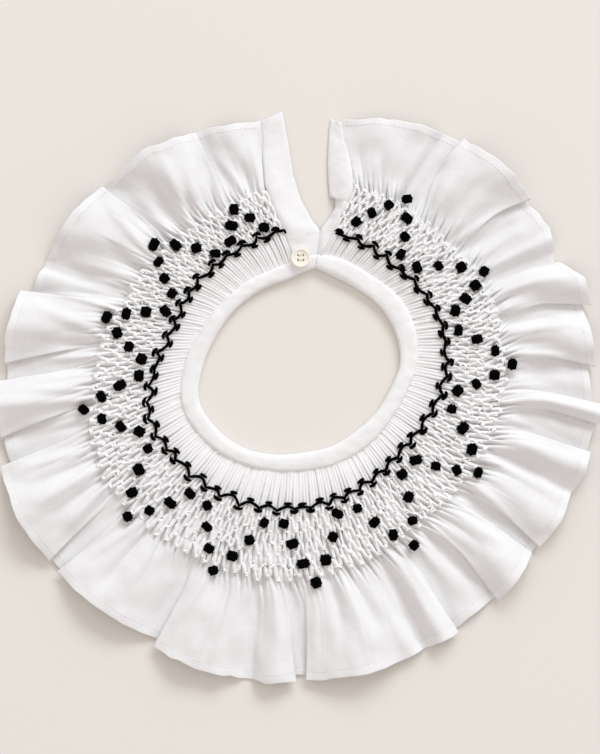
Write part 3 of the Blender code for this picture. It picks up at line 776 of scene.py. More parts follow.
@dataclass(frozen=True)
class ClothFinish:
    """A woven cotton, whiter where it is doubled."""

    name: str
    single: Colour
    doubled: Colour
    roughness: float = 0.95
    sheen: float = 0.06
    slub_shade: Colour = (0.9, 0.893, 0.895)
    mark_shade: Colour = (0.97, 0.966, 0.965)
    weave_depth_m: float = 0.00004
    crumple_depth_m: float = 0.0013
    crumple_size: float = 55.0

    def material(self) -> bpy.types.Material:
        """The finish on the piece's UV map and its mark of where the cloth is doubled.

        Returns:
            The material.
        """
        made, nodes, shader = new_material(self.name, {
            "Roughness": self.roughness, "Sheen Weight": self.sheen, "Sheen Roughness": 0.45,
            "Specular IOR Level": 0.1,
        })
        weave = nodes.add("Group", node_tree=EFFECTS.weave())
        nodes.join(nodes.add("UVMap", uv_map=CLOTH_UV), "UV", weave, "Vector")
        crumple = nodes.add("Group", {"Size": self.crumple_size}, node_tree=EFFECTS.crumple())
        nodes.join(nodes.add("TexCoord"), "Object", crumple, "Vector")
        colour = nodes.add("Mix", {"A": (*self.single, 1.0), "B": (*self.doubled, 1.0)}, data_type="RGBA")
        nodes.join(nodes.add("Attribute", attribute_name=DOUBLED), "Fac", colour, "Factor")
        for effect, output, shade in ((weave, "Slubs", self.slub_shade), (crumple, "Tone", self.mark_shade)):
            darker = nodes.add("Mix", {"B": (*shade, 1.0)}, data_type="RGBA", blend_type="MULTIPLY")
            nodes.join(effect, output, darker, "Factor")
            nodes.join(colour, "Result", darker, "A")
            colour = darker
        nodes.join(colour, "Result", shader, "Base Color")
        soft = nodes.add("Bump", {"Strength": 0.6, "Distance": self.crumple_depth_m})
        nodes.join(crumple, "Height", soft, "Height")
        yarn = nodes.add("Bump", {"Strength": 0.35, "Distance": self.weave_depth_m})
        nodes.join(weave, "Height", yarn, "Height")
        nodes.join(soft, "Normal", yarn, "Normal")
        nodes.join(yarn, "Normal", shader, "Normal")
        return made


@dataclass(frozen=True)
class ThreadFinish:
    """A twisted embroidery thread."""

    name: str
    colour: Colour
    shade: Colour
    roughness: float = 0.75
    sheen: float = 0.2
    specular: float = 0.15
    twist_depth_m: float = 0.00012

    def material(self) -> bpy.types.Material:
        """The finish with fine strands in it.

        Returns:
            The material.
        """
        made, nodes, shader = new_material(self.name, {
            "Roughness": self.roughness, "Sheen Weight": self.sheen, "Specular IOR Level": self.specular,
        })
        fine = {"Scale": 2600.0, "Detail": 3.0}
        strands = nodes.mottle(shader, (nodes.add("TexCoord"), "Object"), fine, (self.shade, self.colour))
        bump = nodes.add("Bump", {"Strength": 0.6, "Distance": self.twist_depth_m})
        nodes.join(strands, "Fac", bump, "Height")
        nodes.join(bump, "Normal", shader, "Normal")
        return made


@dataclass(frozen=True)
class ResinFinish:
    """Cream resin that looks like mother of pearl from afar."""

    name: str
    pale: Colour
    warm: Colour

    def material(self) -> bpy.types.Material:
        """The finish with soft streaks.

        Returns:
            The material.
        """
        made, nodes, shader = new_material(self.name, {
            "Roughness": 0.3, "Coat Weight": 0.3, "Coat Roughness": 0.2,
        })
        stretch = nodes.add("Mapping", {"Scale": (1.0, 3.5, 1.0), "Rotation": (0.0, 0.0, 0.6)})
        nodes.join(nodes.add("TexCoord"), "Object", stretch, "Vector")
        nodes.mottle(shader, (stretch, "Vector"), {"Scale": 210.0, "Detail": 4.0}, (self.warm, self.pale))
        return made


COTTON = ClothFinish("white_cotton_lawn", (0.828, 0.827, 0.838), (0.888, 0.886, 0.896))
BINDING = ClothFinish("cotton_bias_binding", (0.893, 0.891, 0.902), (0.893, 0.891, 0.902),
                      crumple_depth_m=0.0016, crumple_size=75.0)
FACING = ClothFinish("cotton_facing", (0.85, 0.848, 0.86), (0.85, 0.848, 0.86),
                     crumple_depth_m=0.0016, crumple_size=75.0)
WHITE_THREAD = ThreadFinish("white_embroidery_thread", (0.93, 0.927, 0.93), (0.87, 0.867, 0.87), 0.7)
SEWING_THREAD = ThreadFinish("white_sewing_thread", (0.80, 0.79, 0.79), (0.72, 0.71, 0.71), 0.7)
BLACK_THREAD = ThreadFinish("black_embroidery_thread", (0.002, 0.002, 0.0022), (0.0006, 0.0006, 0.0006),
                            roughness=0.9, sheen=0.0, specular=0.03)
BUTTON_THREAD = ThreadFinish("cream_button_thread", (0.86, 0.82, 0.73), (0.76, 0.70, 0.60), 0.7)
RESIN = ResinFinish("cream_button_resin", (0.90, 0.87, 0.79), (0.86, 0.81, 0.70))


def linked(name: str, data: bpy.types.ID) -> bpy.types.Object:
    """Puts a new object into the scene.

    Args:
        name: its name.
        data: its mesh, curve, light or camera.

    Returns:
        The object.
    """
    piece = bpy.data.objects.new(name, data)
    bpy.context.scene.collection.objects.link(piece)
    return piece


def cloth_piece(
    name: str, points: np.ndarray, faces: list, uv: np.ndarray, doubled: np.ndarray
) -> bpy.types.Object:
    """A mesh with a UV map in metres of its cloth and a mark where the cloth is doubled.

    Args:
        name: the piece's name.
        points: its vertices, in metres.
        faces: the indices round each face.
        uv: the cloth's own coordinates at each vertex.
        doubled: from 0, single, to 1, doubled, at each vertex.

    Returns:
        The piece.
    """
    mesh = bpy.data.meshes.new(name)
    mesh.from_pydata(points.tolist(), [], faces)
    layer = mesh.uv_layers.new(name=CLOTH_UV)
    corners = np.zeros(len(mesh.loops), dtype=np.int32)
    mesh.loops.foreach_get("vertex_index", corners)
    layer.data.foreach_set("uv", uv[corners].astype(np.float32).ravel())
    mark = mesh.attributes.new(DOUBLED, "FLOAT", "POINT")
    mark.data.foreach_set("value", doubled.astype(np.float32))
    return linked(name, mesh)


def make_active(piece: bpy.types.Object) -> None:
    """Selects one piece alone.

    Args:
        piece: the piece.
    """
    bpy.ops.object.select_all(action="DESELECT")
    piece.select_set(True)
    bpy.context.view_layer.objects.active = piece


def apply_modifier(piece: bpy.types.Object, kind: str, **settings: Any) -> None:
    """Changes a piece's mesh by one modifier.

    Args:
        piece: the piece.
        kind: the modifier's type.
        settings: its own settings.
    """
    make_active(piece)
    modifier = piece.modifiers.new(kind.lower(), kind)
    for name, setting in settings.items():
        setattr(modifier, name, setting)
    bpy.ops.object.modifier_apply(modifier=modifier.name)


def dress(
    piece: bpy.types.Object, material: bpy.types.Material, soft_faces: int | None = None
) -> bpy.types.Object:
    """Gives a piece its material and its body, and smooths its shading.

    Args:
        piece: the finished piece.
        material: its one material.
        soft_faces: how many of its faces are shaded smoothly, or None for all of them.

    Returns:
        The same piece.
    """
    piece.data.materials.clear()
    piece.data.materials.append(material)
    count = len(piece.data.polygons)
    soft = count if soft_faces is None else soft_faces
    piece.data.polygons.foreach_set("use_smooth", [index < soft for index in range(count)])
    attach(piece, BODY)
    LOG.info("%s: %d vertices, %d faces", piece.name, len(piece.data.vertices), len(piece.data.polygons))
    return piece


def threads(name: str, paths: list[np.ndarray], radius_m: float, sides: int = 1) -> bpy.types.Object:
    """Tubes of thread along paths, as one mesh.

    Args:
        name: the piece's name.
        paths: for each thread, rows of x, y, z and its thickness as a share.
        radius_m: the thread's radius.
        sides: how round it is, as a curve's bevel resolution.

    Returns:
        The piece, without a material.
    """
    curve = bpy.data.curves.new(name, "CURVE")
    curve.dimensions = "3D"
    curve.bevel_depth = radius_m
    curve.bevel_resolution = sides
    curve.use_fill_caps = True
    for path in paths:
        spline = curve.splines.new("POLY")
        spline.points.add(len(path) - 1)
        places = np.concatenate([path[:, :3], np.ones((len(path), 1))], axis=1)
        spline.points.foreach_set("co", places.ravel())
        spline.points.foreach_set("radius", path[:, 3].astype(np.float32))
    make_active(linked(name, curve))
    bpy.ops.object.convert(target="MESH")
    return bpy.context.view_layer.objects.active


@dataclass
class RuffledCloth:
    """The collar's one cloth: pleats under the band, smocking, and the ruffle down to its hem."""

    plan: CollarPlan
    pleats: int = 236
    steps: int = 5
    wall_mm: float = 0.35
    levels: int = 6
    tuck_mm: float = 3.2
    furrow_mm: float = 1.3
    pinched_mm: float = 4.3
    ridge_mm: float = 5.2
    middle_mm: float = 3.0
    thirds: tuple[tuple[float, float], ...] = ((0.12, 0.3), (0.15, 0.3), (1.0, 0.0))
    pair_shift: float = 0.27
    slot_share: float = 0.3
    inner_squeeze: float = 0.20
    outer_squeeze: float = 0.04
    widest_share: float = 0.46
    flat_top: float = 0.45
    shoulder: float = 0.74
    shoulder_shut: float = 0.17
    end_height: float = 0.3
    lean_spread: float = 0.14
    most_lean: float = 0.22
    girth_spread: float = 0.055
    girth_limits: tuple[float, float] = (0.28, 0.48)
    uneven_mm: float = 0.16
    lump_mm: float = 0.24
    wander_mm: float = 0.55
    last_wander_mm: float = 1.1
    wavers: int = 240
    waver_mm: float = 0.35
    lowest_mm: float = 0.45
    crest_share: float = 0.72
    crease_width: float = 0.74
    crease_height: float = 1.0
    crease_start: float = 0.15
    crease_end: float = 0.45
    drift_mm: float = 5.0
    pleat_fade_mm: float = 7.5
    flat_m: tuple[float, float] = (1.51, 0.127)
    band_shares: tuple[float, ...] = (0.0, 0.09, 0.24, 0.5, 0.78)
    ruffle_shares: tuple[float, ...] = (
        0.03, 0.07, 0.12, 0.18, 0.25, 0.33, 0.42, 0.51, 0.60, 0.69, 0.77, 0.84, 0.895,
    )
    hem_steps_mm: tuple[float, ...] = (5.1, 4.7, 0.45, 0.0)
    hem_lift_mm: tuple[float, ...] = (0.0, 0.0, 0.05, -0.06)
    rolled_pleats: int = 13
    bundles: tuple[int, ...] = (2, 3, 2, 3, 2)
    gather_kinds: tuple[tuple[float, int, float], ...] = ((10.0, 101, 1.6), (26.0, 67, 2.3), (50.0, 41, 2.0))
    gather_shift: float = 0.32
    gather_heights: tuple[float, float] = (0.25, 1.0)
    gather_reaches: tuple[float, float] = (0.5, 1.3)
    puff_waves: tuple[tuple[float, float, float], ...] = (
        (37.0, 20.0, 0.42), (26.0, 75.0, 0.34), (19.0, 130.0, 0.24), (13.0, 160.0, 0.14),
    )
    form_rows: tuple[tuple[float, ...], ...] = ((0.0, 0.25, 0.5, 1.0), (0.0, 0.62, 1.0, 1.0))
    crest_rows: tuple[tuple[float, ...], ...] = ((0.0, 0.25, 0.5, 0.76, 1.0), (0.5, 0.62, 0.75, 0.9, 1.0))
    grid: np.ndarray = field(default_factory=lambda: np.zeros((0, 0, 3)))
    level_rows: list[int] = field(default_factory=list)
    stitch_row: int = 0

    def pleat_columns(
        self, pinch: float, turn: int, jitter: np.ndarray, girth: np.ndarray, shut: np.ndarray
    ) -> tuple[np.ndarray, np.ndarray]:
        """Where the cloth runs across the pleats at one level.

        Args:
            pinch: from 0, between stitches, to 1, where a stitch draws pairs of pleats together.
            turn: which pairs the stitches of this level draw together, 0 or 1.
            jitter: how far each pleat leans, in pleats.
            girth: half of each pleat's width, in pleats.
            shut: how far the furrow before each pleat is closed, from 0 to 1.

        Returns:
            How far along the cloth each column lies, in pleats, and its height from furrow, 0, to ridge, 1.
        """
        numbers = np.arange(self.pleats)
        side = np.where((numbers + turn) % 2 == 0, 1.0, -1.0)
        ridge = numbers + 0.5 + side * self.pair_shift * pinch + jitter
        gaps = np.concatenate([[ridge[0]], np.diff(ridge), [self.pleats - ridge[-1]]])
        shut_after = np.append(shut[1:], 1.0)
        halves = []
        for closed, inward, gap in ((shut, side < 0, gaps[:-1]), (shut_after, side > 0, gaps[1:])):
            half = girth * (1.0 - self.slot_share * (1.0 - closed))
            half = half - np.where(inward, self.inner_squeeze, self.outer_squeeze) * pinch
            halves.append(np.minimum(half, gap * self.widest_share))
        left, right = halves
        furrow = np.concatenate([[0.0], (ridge[:-1] + ridge[1:]) / 2])
        flat = self.flat_top
        across = [furrow, ridge - left, ridge - left * flat, ridge + right * flat, ridge + right]
        height = np.ones((self.pleats, self.steps))
        height[:, 1] = self.shoulder + self.shoulder_shut * shut
        height[:, 4] = self.shoulder + self.shoulder_shut * shut_after
        held = (self.pinched_mm - self.furrow_mm) / (self.ridge_mm - self.furrow_mm)
        height[:, 0] = np.maximum(np.where(side < 0, held * pinch, 0.0), shut * height[:, 1])
        height[0, 0] = self.end_height
        along = np.append(np.stack(across, axis=1).ravel(), float(self.pleats))
        return along, np.append(height.ravel(), self.end_height)

    def lean(self, noise: np.random.Generator) -> np.ndarray:
        """How far each pleat leans at a level, in pleats."""
        return np.clip(noise.normal(0.0, self.lean_spread, self.pleats), -self.most_lean, self.most_lean)

    def girth(self, noise: np.random.Generator, mean: float) -> np.ndarray:
        """Half of each pleat's width at a level, in pleats."""
        return np.clip(noise.normal(mean, self.girth_spread, self.pleats), *self.girth_limits)

    def shut(self, noise: np.random.Generator, closed_share: float, closed: float) -> np.ndarray:
        """How far each furrow is closed at a level, from 0 to 1."""
        share = np.where(noise.uniform(0.0, 1.0, self.pleats) < closed_share, closed, 0.15 * closed)
        return np.clip(share * noise.uniform(0.75, 1.15, self.pleats), 0.0, 1.0)

    def rolled(self, shut: np.ndarray) -> np.ndarray:
        """Rolls the pleats beside the fastening together in pairs, so that they lie broader there.

        Args:
            shut: how far the furrow before each pleat is closed.

        Returns:
            The same, with each pair's own furrow closed and the next one open.
        """
        numbers = np.arange(self.pleats)
        near = np.minimum(numbers, self.pleats - numbers) < self.rolled_pleats
        return np.where(near, np.where(numbers % 2 == 1, 1.0, 0.0), shut)

    def bundled(self, shut: np.ndarray) -> np.ndarray:
        """Opens the furrows between the bundles of pleats that the waves draw together."""
        starts = np.cumsum(np.resize(self.bundles, self.pleats))
        return np.where(np.isin(np.arange(self.pleats), starts), 0.0, shut)

    def pleated_rows(self, share: np.ndarray, noise: np.random.Generator) -> list[np.ndarray]:
        """The rows from under the band to the smocking's edge, as angle, distance and height.

        Args:
            share: how far along the cloth each column is.
            noise: the source of what is uneven in the pleats.

        Returns:
            The rows, each with one line for a column.
        """
        nominal = self.plan.column_angle(share, 80.0)
        nominal = self.plan.column_angle(share, self.plan.value("wave_mm", nominal))
        band = self.plan.value("band_mm", nominal)
        wave = self.plan.value("wave_mm", nominal)
        edge = self.plan.value("edge_mm", nominal)
        rows = []
        lean = self.lean(noise) * 0.5
        girth, shut = self.girth(noise, 0.47), self.rolled(self.shut(noise, 0.97, 1.1))
        wobble = np.append(np.repeat(noise.normal(0.0, self.uneven_mm, self.pleats), self.steps), 0.0)

        def add(
            radius: np.ndarray, pinch: float, turn: int, low: float, high: float, jitter: np.ndarray,
            wide: np.ndarray, closed: np.ndarray,
        ) -> None:
            """Adds one row of pleats.

            Args:
                radius: its distance at each column.
                pinch: how far its pairs of pleats are drawn together, from 0 to 1.
                turn: which pairs those are, 0 or 1.
                low: the furrows' height, in millimetres.
                high: the ridges' height, in millimetres.
                jitter: how far each pleat leans, in pleats.
                wide: half of each pleat's width, in pleats.
                closed: how far the furrow before each pleat is closed, from 0 to 1.
            """
            along, height = self.pleat_columns(pinch, turn, jitter, wide, closed)
            lumps = 0.0
            if pinch > 0.0:
                is_last = len(rows) >= self.level_rows[0] + len(self.thirds) * self.levels
                loose = self.last_wander_mm if is_last else self.wander_mm
                wander = np.repeat(noise.normal(0.0, loose, self.pleats // 2), 2 * self.steps)
                radius = radius + np.append(np.roll(wander, turn * self.steps), 0.0)
                lumps = np.append(np.repeat(noise.normal(0.0, self.lump_mm, self.pleats), self.steps), 0.0)
            angle = self.plan.column_angle(along / self.pleats, radius)
            rise = low + (high - low) * height + (wobble + lumps) * height
            rows.append(np.stack([angle, radius, rise], axis=1))

        wedge, open_wedge = self.girth(noise, 0.43), self.rolled(self.bundled(self.shut(noise, 0.88, 0.95)))
        add(band - self.tuck_mm, 0.0, 0, 1.8, 2.2, lean, girth, shut)
        for share_out in self.band_shares:
            rise = float(smooth(np.array(share_out / 0.62)))
            high = 2.55 + (self.ridge_mm - 0.35 - 2.55) * rise
            low = 1.9 + (self.furrow_mm - 1.9) * rise
            part = min(share_out * 1.15, 1.0)
            wide, closed = girth + (wedge - girth) * part, shut + (open_wedge - shut) * part
            add(band - 0.2 + (wave - band) * share_out, 0.0, 0, low, high, lean, wide, closed)
        self.level_rows = [len(rows)]
        add(wave, 0.35, 0, self.furrow_mm, self.ridge_mm - 0.2, lean, wedge, open_wedge)
        girth, shut = wedge, open_wedge
        for level in range(1, self.levels + 1):
            after = self.lean(noise)
            next_girth, next_shut = self.girth(noise, 0.43), self.shut(noise, 0.4, 0.75)
            for third, (pinch, over) in enumerate(self.thirds, 1):
                part = third / len(self.thirds)
                radius = wave + (edge - wave) * (level - 1 + part) / self.levels
                turn = level if third > 1 else level - 1
                wide, closed = girth + (next_girth - girth) * part, shut + (next_shut - shut) * part
                leaning = lean + (after - lean) * part
                add(radius, pinch, turn, self.furrow_mm, self.ridge_mm + over, leaning, wide, closed)
            lean, girth, shut = after, next_girth, next_shut
            self.level_rows.append(len(rows) - 1)
        return rows

    def gathers(self, share: np.ndarray, out_mm: np.ndarray, noise: np.random.Generator) -> np.ndarray:
        """The small gathers that run out of the smocking, uneven in height, width and reach.

        Args:
            share: how far along the cloth each column is.
            out_mm: how far outside the smocking each row is.
            noise: their source.

        Returns:
            Heights in millimetres, a row for each of out_mm.
        """
        total = np.zeros((len(out_mm), len(share)))
        starts = smooth(out_mm / 3.0 + 0.2)[:, None]
        for reach, count, high in self.gather_kinds:
            shift = noise.uniform(-self.gather_shift, self.gather_shift, count)
            bounds = (np.arange(count + 1) + np.append(shift, 0.0)) / count
            bounds[0] = 0.0
            heights = noise.uniform(*self.gather_heights, count) * high
            reaches = reach * noise.uniform(*self.gather_reaches, count)
            which = np.clip(np.searchsorted(bounds, share, side="right") - 1, 0, count - 1)
            local = (share - bounds[which]) / (bounds[which + 1] - bounds[which])
            puff = np.sin(np.pi * np.clip(local, 0.0, 1.0)) ** 0.65 - 0.58
            fade = np.exp(-((out_mm[:, None] / reaches[which][None, :]) ** 2)) * starts
            total += fade * (heights[which] * puff)[None, :]
        return total

    def crease_heights(self, angle: np.ndarray, radius: np.ndarray, share_out: float) -> np.ndarray:
        """What the listed creases add along one row.

        Args:
            angle: each column's angle.
            radius: each column's distance.
            share_out: the row's share of the way to the hem.

        Returns:
            Heights in millimetres.
        """
        total = np.zeros(len(angle))
        for crease in CREASES:
            at = (share_out - crease.inner_share) / (crease.outer_share - crease.inner_share)
            runs_off = crease.outer_share >= 1.0
            if at < -self.crease_start or (at > 1.0 and not runs_off):
                continue
            fade = smooth(np.array((at + self.crease_start) / (2 * self.crease_start)))
            fade = fade * (1.0 if runs_off else smooth(np.array((1.0 - at) / self.crease_end)))
            held = min(max(at, 0.0), 1.0)
            centre = crease.inner_deg + (crease.outer_deg - crease.inner_deg) * held
            wide = crease.inner_width_mm + (crease.outer_width_mm - crease.inner_width_mm) * held
            off = np.radians(angle - centre) * radius / (wide * self.crease_width)
            total += crease.height_mm * self.crease_height * float(fade) * np.exp(-off * off)
        return total

    def puffs(self, angle: np.ndarray, radius: np.ndarray) -> np.ndarray:
        """The shallow hollows and swells of cloth that has been worn.

        Args:
            angle: each column's angle.
            radius: each column's distance.

        Returns:
            Heights in millimetres.
        """
        x, y = radius * np.sin(np.radians(angle)), radius * np.cos(np.radians(angle))
        total = np.zeros(len(angle))
        for long_mm, turn_deg, high_mm in self.puff_waves:
            turn = math.radians(turn_deg)
            along = (x * math.cos(turn) + y * math.sin(turn)) * 2 * math.pi / long_mm
            across = (y * math.cos(turn) - x * math.sin(turn)) * 2 * math.pi / long_mm
            total += high_mm * np.sin(along + 1.7 * np.sin(across * 0.6))
        return total

    def ruffled_rows(
        self, share: np.ndarray, last: np.ndarray, noise: np.random.Generator
    ) -> list[np.ndarray]:
        """The rows from the smocking's edge to the hem, as angle, distance and height.

        Args:
            share: how far along the cloth each column is.
            last: the last pleated row.
            noise: the source of what is uneven.

        Returns:
            The rows, each with one line for a column.
        """
        hem = self.plan.hem(share)
        edge = last[:, 1]
        length = float(np.mean(hem[:, 1] - edge))
        shares = list(self.ruffle_shares) + [1.0 - step / length for step in self.hem_steps_mm]
        out_mm = np.array(shares) * length
        relief = self.gathers(share, out_mm, noise)
        waver = uneven(share, self.wavers, self.waver_mm, noise)
        pleat = last[:, 2] - np.mean(last[:, 2])
        drift = last[:, 0] - self.plan.column_angle(share, edge)
        rows = []
        for number, (out, row_share) in enumerate(zip(out_mm, shares)):
            radius = edge + (hem[:, 1] + waver * row_share - edge) * row_share
            gathered = self.plan.column_angle(share, radius) + drift * math.exp(-((out / self.drift_mm) ** 2))
            angle = gathered + (hem[:, 0] - gathered) * row_share
            form = float(np.interp(row_share, *self.form_rows))
            crest = float(np.interp(row_share, *self.crest_rows))
            lobe_mm = hem[:, 2] + hem[:, 3] * crest * self.crest_share
            height = self.middle_mm + (lobe_mm - self.middle_mm) * form
            height += pleat * math.exp(-((out / self.pleat_fade_mm) ** 2))
            height += relief[number] * (1.0 - 0.6 * row_share)
            height += self.crease_heights(angle, radius, row_share)
            height += self.puffs(angle, radius) * float(smooth(np.array(row_share * 3.0)))
            if number >= len(self.ruffle_shares):
                height += self.hem_lift_mm[number - len(self.ruffle_shares)]
            over = height - self.lowest_mm
            over = np.where(over > 1.0, over, np.exp(np.minimum(over - 1.0, 0.0)))
            rows.append(np.stack([angle, radius, self.lowest_mm + over], axis=1))
        self.stitch_row = len(self.ruffle_shares) + 1
        return rows

    def build(self) -> bpy.types.Object:
        """Makes the cloth's one thin shell.

        Returns:
            The piece, without a material.
        """
        noise = np.random.default_rng(7)
        share = np.arange(self.pleats * self.steps + 1) / (self.pleats * self.steps)
        rows = self.pleated_rows(share, noise)
        pleated = len(rows)
        rows += self.ruffled_rows(share, rows[-1], noise)
        self.stitch_row += pleated
        table = np.array(rows)
        self.grid = self.plan.place(table[..., 0], table[..., 1], table[..., 2])
        count, wide = self.grid.shape[:2]
        index = np.arange(count * wide).reshape(count, wide)
        faces = np.stack([index[:-1, :-1], index[1:, :-1], index[1:, 1:], index[:-1, 1:]], axis=-1)
        steps = np.linalg.norm(np.diff(self.grid[:, ::9], axis=0), axis=2).mean(1)
        out = np.concatenate([[0.0], np.cumsum(steps)])
        uv = np.stack(np.broadcast_arrays(share[None, :] * self.flat_m[0], out[:, None]), axis=-1)
        doubled = np.zeros((count, wide))
        doubled[self.stitch_row :] = 0.5
        doubled[: self.level_rows[-1]] = 1.0
        piece = cloth_piece("ruffled_cloth", self.grid.reshape(-1, 3), faces.reshape(-1, 4).tolist(),
                            uv.reshape(-1, 2), doubled.ravel())
        apply_modifier(piece, "SOLIDIFY", thickness=self.wall_mm * MM, offset=-1.0)
        return piece

    def surface_faces(self) -> int:
        """How many faces the shell's two sides have, which come before those of its cut edge."""
        return 2 * (self.grid.shape[0] - 1) * (self.grid.shape[1] - 1)

    def normals(self) -> np.ndarray:
        """The cloth's outward directions.

        Returns:
            A direction of length 1 for each point of its grid.
        """
        across = np.gradient(self.grid, axis=0)
        along = np.gradient(self.grid, axis=1)
        return unit(np.cross(along, across))

    def ridge(self, row: int, pleat: int) -> np.ndarray:
        """The top of a pleat at a row."""
        first = min(max(pleat, 0), self.pleats - 1) * self.steps + self.steps // 2
        return (self.grid[row, first] + self.grid[row, first + 1]) / 2


@dataclass
class WhiteSmocking:
    """The white stitches that draw the pleats together: lumpy bars over each pair, joined by a zigzag."""

    cloth: RuffledCloth
    thread_mm: float = 0.34
    bar_mm: float = 0.6
    stray_mm: float = 0.42
    stray_share: float = 0.5
    overhang_mm: float = 0.5
    strand_mm: float = 0.45
    strand_waver_mm: float = 0.28
    rise_mm: float = 0.2
    climb_rise_mm: float = 0.12
    waver_mm: float = 0.12

    def corner(self, row: int, pleat: int, rise_mm: float, noise: np.random.Generator) -> list[float]:
        """A point of thread over a pleat.

        Args:
            row: the cloth's row.
            pleat: the pleat's number.
            rise_mm: how far over the pleat it lies.
            noise: the source of what is uneven.

        Returns:
            Its x, y, z and thickness.
        """
        place = self.cloth.ridge(row, pleat)
        side = noise.normal(0.0, self.waver_mm, 2) * MM
        return [place[0] + side[0], place[1] + side[1], place[2] + rise_mm * MM, noise.uniform(0.75, 1.3)]

    def across(self, row: int, pleat: int) -> tuple[np.ndarray, np.ndarray, np.ndarray, np.ndarray]:
        """Two neighbouring pleats that a stitch may cross.

        Args:
            row: the cloth's row.
            pleat: the first pleat's number.

        Returns:
            The tops of both, the direction from one to the other, and the direction outward.
        """
        left, right = self.cloth.ridge(row, pleat), self.cloth.ridge(row, pleat + 1)
        along = unit(right - left)
        return left, right, along, np.array([-along[1], along[0], 0.0])

    def stitch(
        self, middle: np.ndarray, reach: np.ndarray, shape: tuple[StitchPoint, ...],
        lumpy: tuple[float, float], noise: np.random.Generator,
    ) -> np.ndarray:
        """One short stitch.

        Args:
            middle: where its middle is.
            reach: from its middle to its end.
            shape: its points.
            lumpy: the least and the greatest share of its thickness.
            noise: the source of its lumps.

        Returns:
            Rows of x, y, z and thickness.
        """
        path = []
        for point in shape:
            place = middle + reach * point.along + np.array([0.0, 0.0, point.off_mm * MM])
            path.append([*place, point.thick * noise.uniform(*lumpy)])
        return np.array(path)

    def zigzags(self, noise: np.random.Generator) -> list[np.ndarray]:
        """The threads that climb from level to level over the ridges.

        Args:
            noise: the source of what is uneven in them.

        Returns:
            A path for each thread.
        """
        paths = []
        rows = self.cloth.level_rows
        for low in range(1, self.cloth.levels, 2):
            path = []
            for pleat in range(self.cloth.pleats - 1):
                level = low if (pleat + low) % 2 == 0 else low + 1
                other = low + 1 if level == low else low
                between = (rows[level] + rows[other]) // 2
                path.append(self.corner(rows[level], pleat, self.rise_mm, noise))
                path.append(self.corner(rows[level], pleat + 1, self.rise_mm, noise))
                path.append(self.corner(between, pleat + 1, self.climb_rise_mm, noise))
            paths.append(np.array(path))
        return paths

    def bars(self, noise: np.random.Generator) -> list[np.ndarray]:
        """The short bars over each pair of pleats, two strands each.

        Args:
            noise: the source of their uneven lengths, slants and lumps.

        Returns:
            A path for each strand.
        """
        paths = []
        for level in range(1, self.cloth.levels + 1):
            row = self.cloth.level_rows[level]
            for pleat in range(level % 2, self.cloth.pleats - 1, 2):
                left, right, along, outward = self.across(row, pleat)
                for strand in (-1.0, 1.0):
                    off = strand * self.strand_mm + noise.normal(0.0, self.strand_waver_mm)
                    overhang = self.overhang_mm * MM * noise.uniform(0.2, 1.7)
                    half = np.linalg.norm(right - left) / 2 + overhang
                    reach = (along + outward * noise.normal(0.0, 0.4)) * half
                    middle = (left + right) / 2 + outward * off * MM
                    paths.append(self.stitch(middle, reach, BAR_STITCH, (0.65, 1.35), noise))
        return paths

    def strays(self, noise: np.random.Generator) -> list[np.ndarray]:
        """The small uneven stitches between the levels, which run every way.

        Args:
            noise: the source of their places, lengths and slants.

        Returns:
            A path for each stitch.
        """
        paths = []
        for level in range(1, self.cloth.levels + 1):
            for pleat in range(self.cloth.pleats - 1):
                if noise.uniform() > self.stray_share:
                    continue
                row = self.cloth.level_rows[level] - int(noise.integers(1, 3))
                left, right, along, outward = self.across(row, pleat)
                way = unit(along + outward * noise.normal(0.0, 1.1))
                middle = left + (right - left) * noise.uniform(0.0, 0.6)
                middle = middle + outward * noise.normal(0.0, 0.6) * MM
                reach = way * noise.uniform(0.7, 1.5) * MM
                paths.append(self.stitch(middle, reach, STRAY_STITCH, (0.7, 1.4), noise))
        return paths

    def build(self) -> list[bpy.types.Object]:
        """Makes the three kinds of white stitch.

        Returns:
            The pieces, dressed.
        """
        material = WHITE_THREAD.material()
        noise = np.random.default_rng(11)
        climbing = threads("smocking_thread", self.zigzags(noise), self.thread_mm * MM)
        bars = threads("smocking_bars", self.bars(noise), self.bar_mm * MM)
        strays = threads("smocking_strays", self.strays(noise), self.stray_mm * MM)
        return [dress(piece, material) for piece in (climbing, bars, strays)]


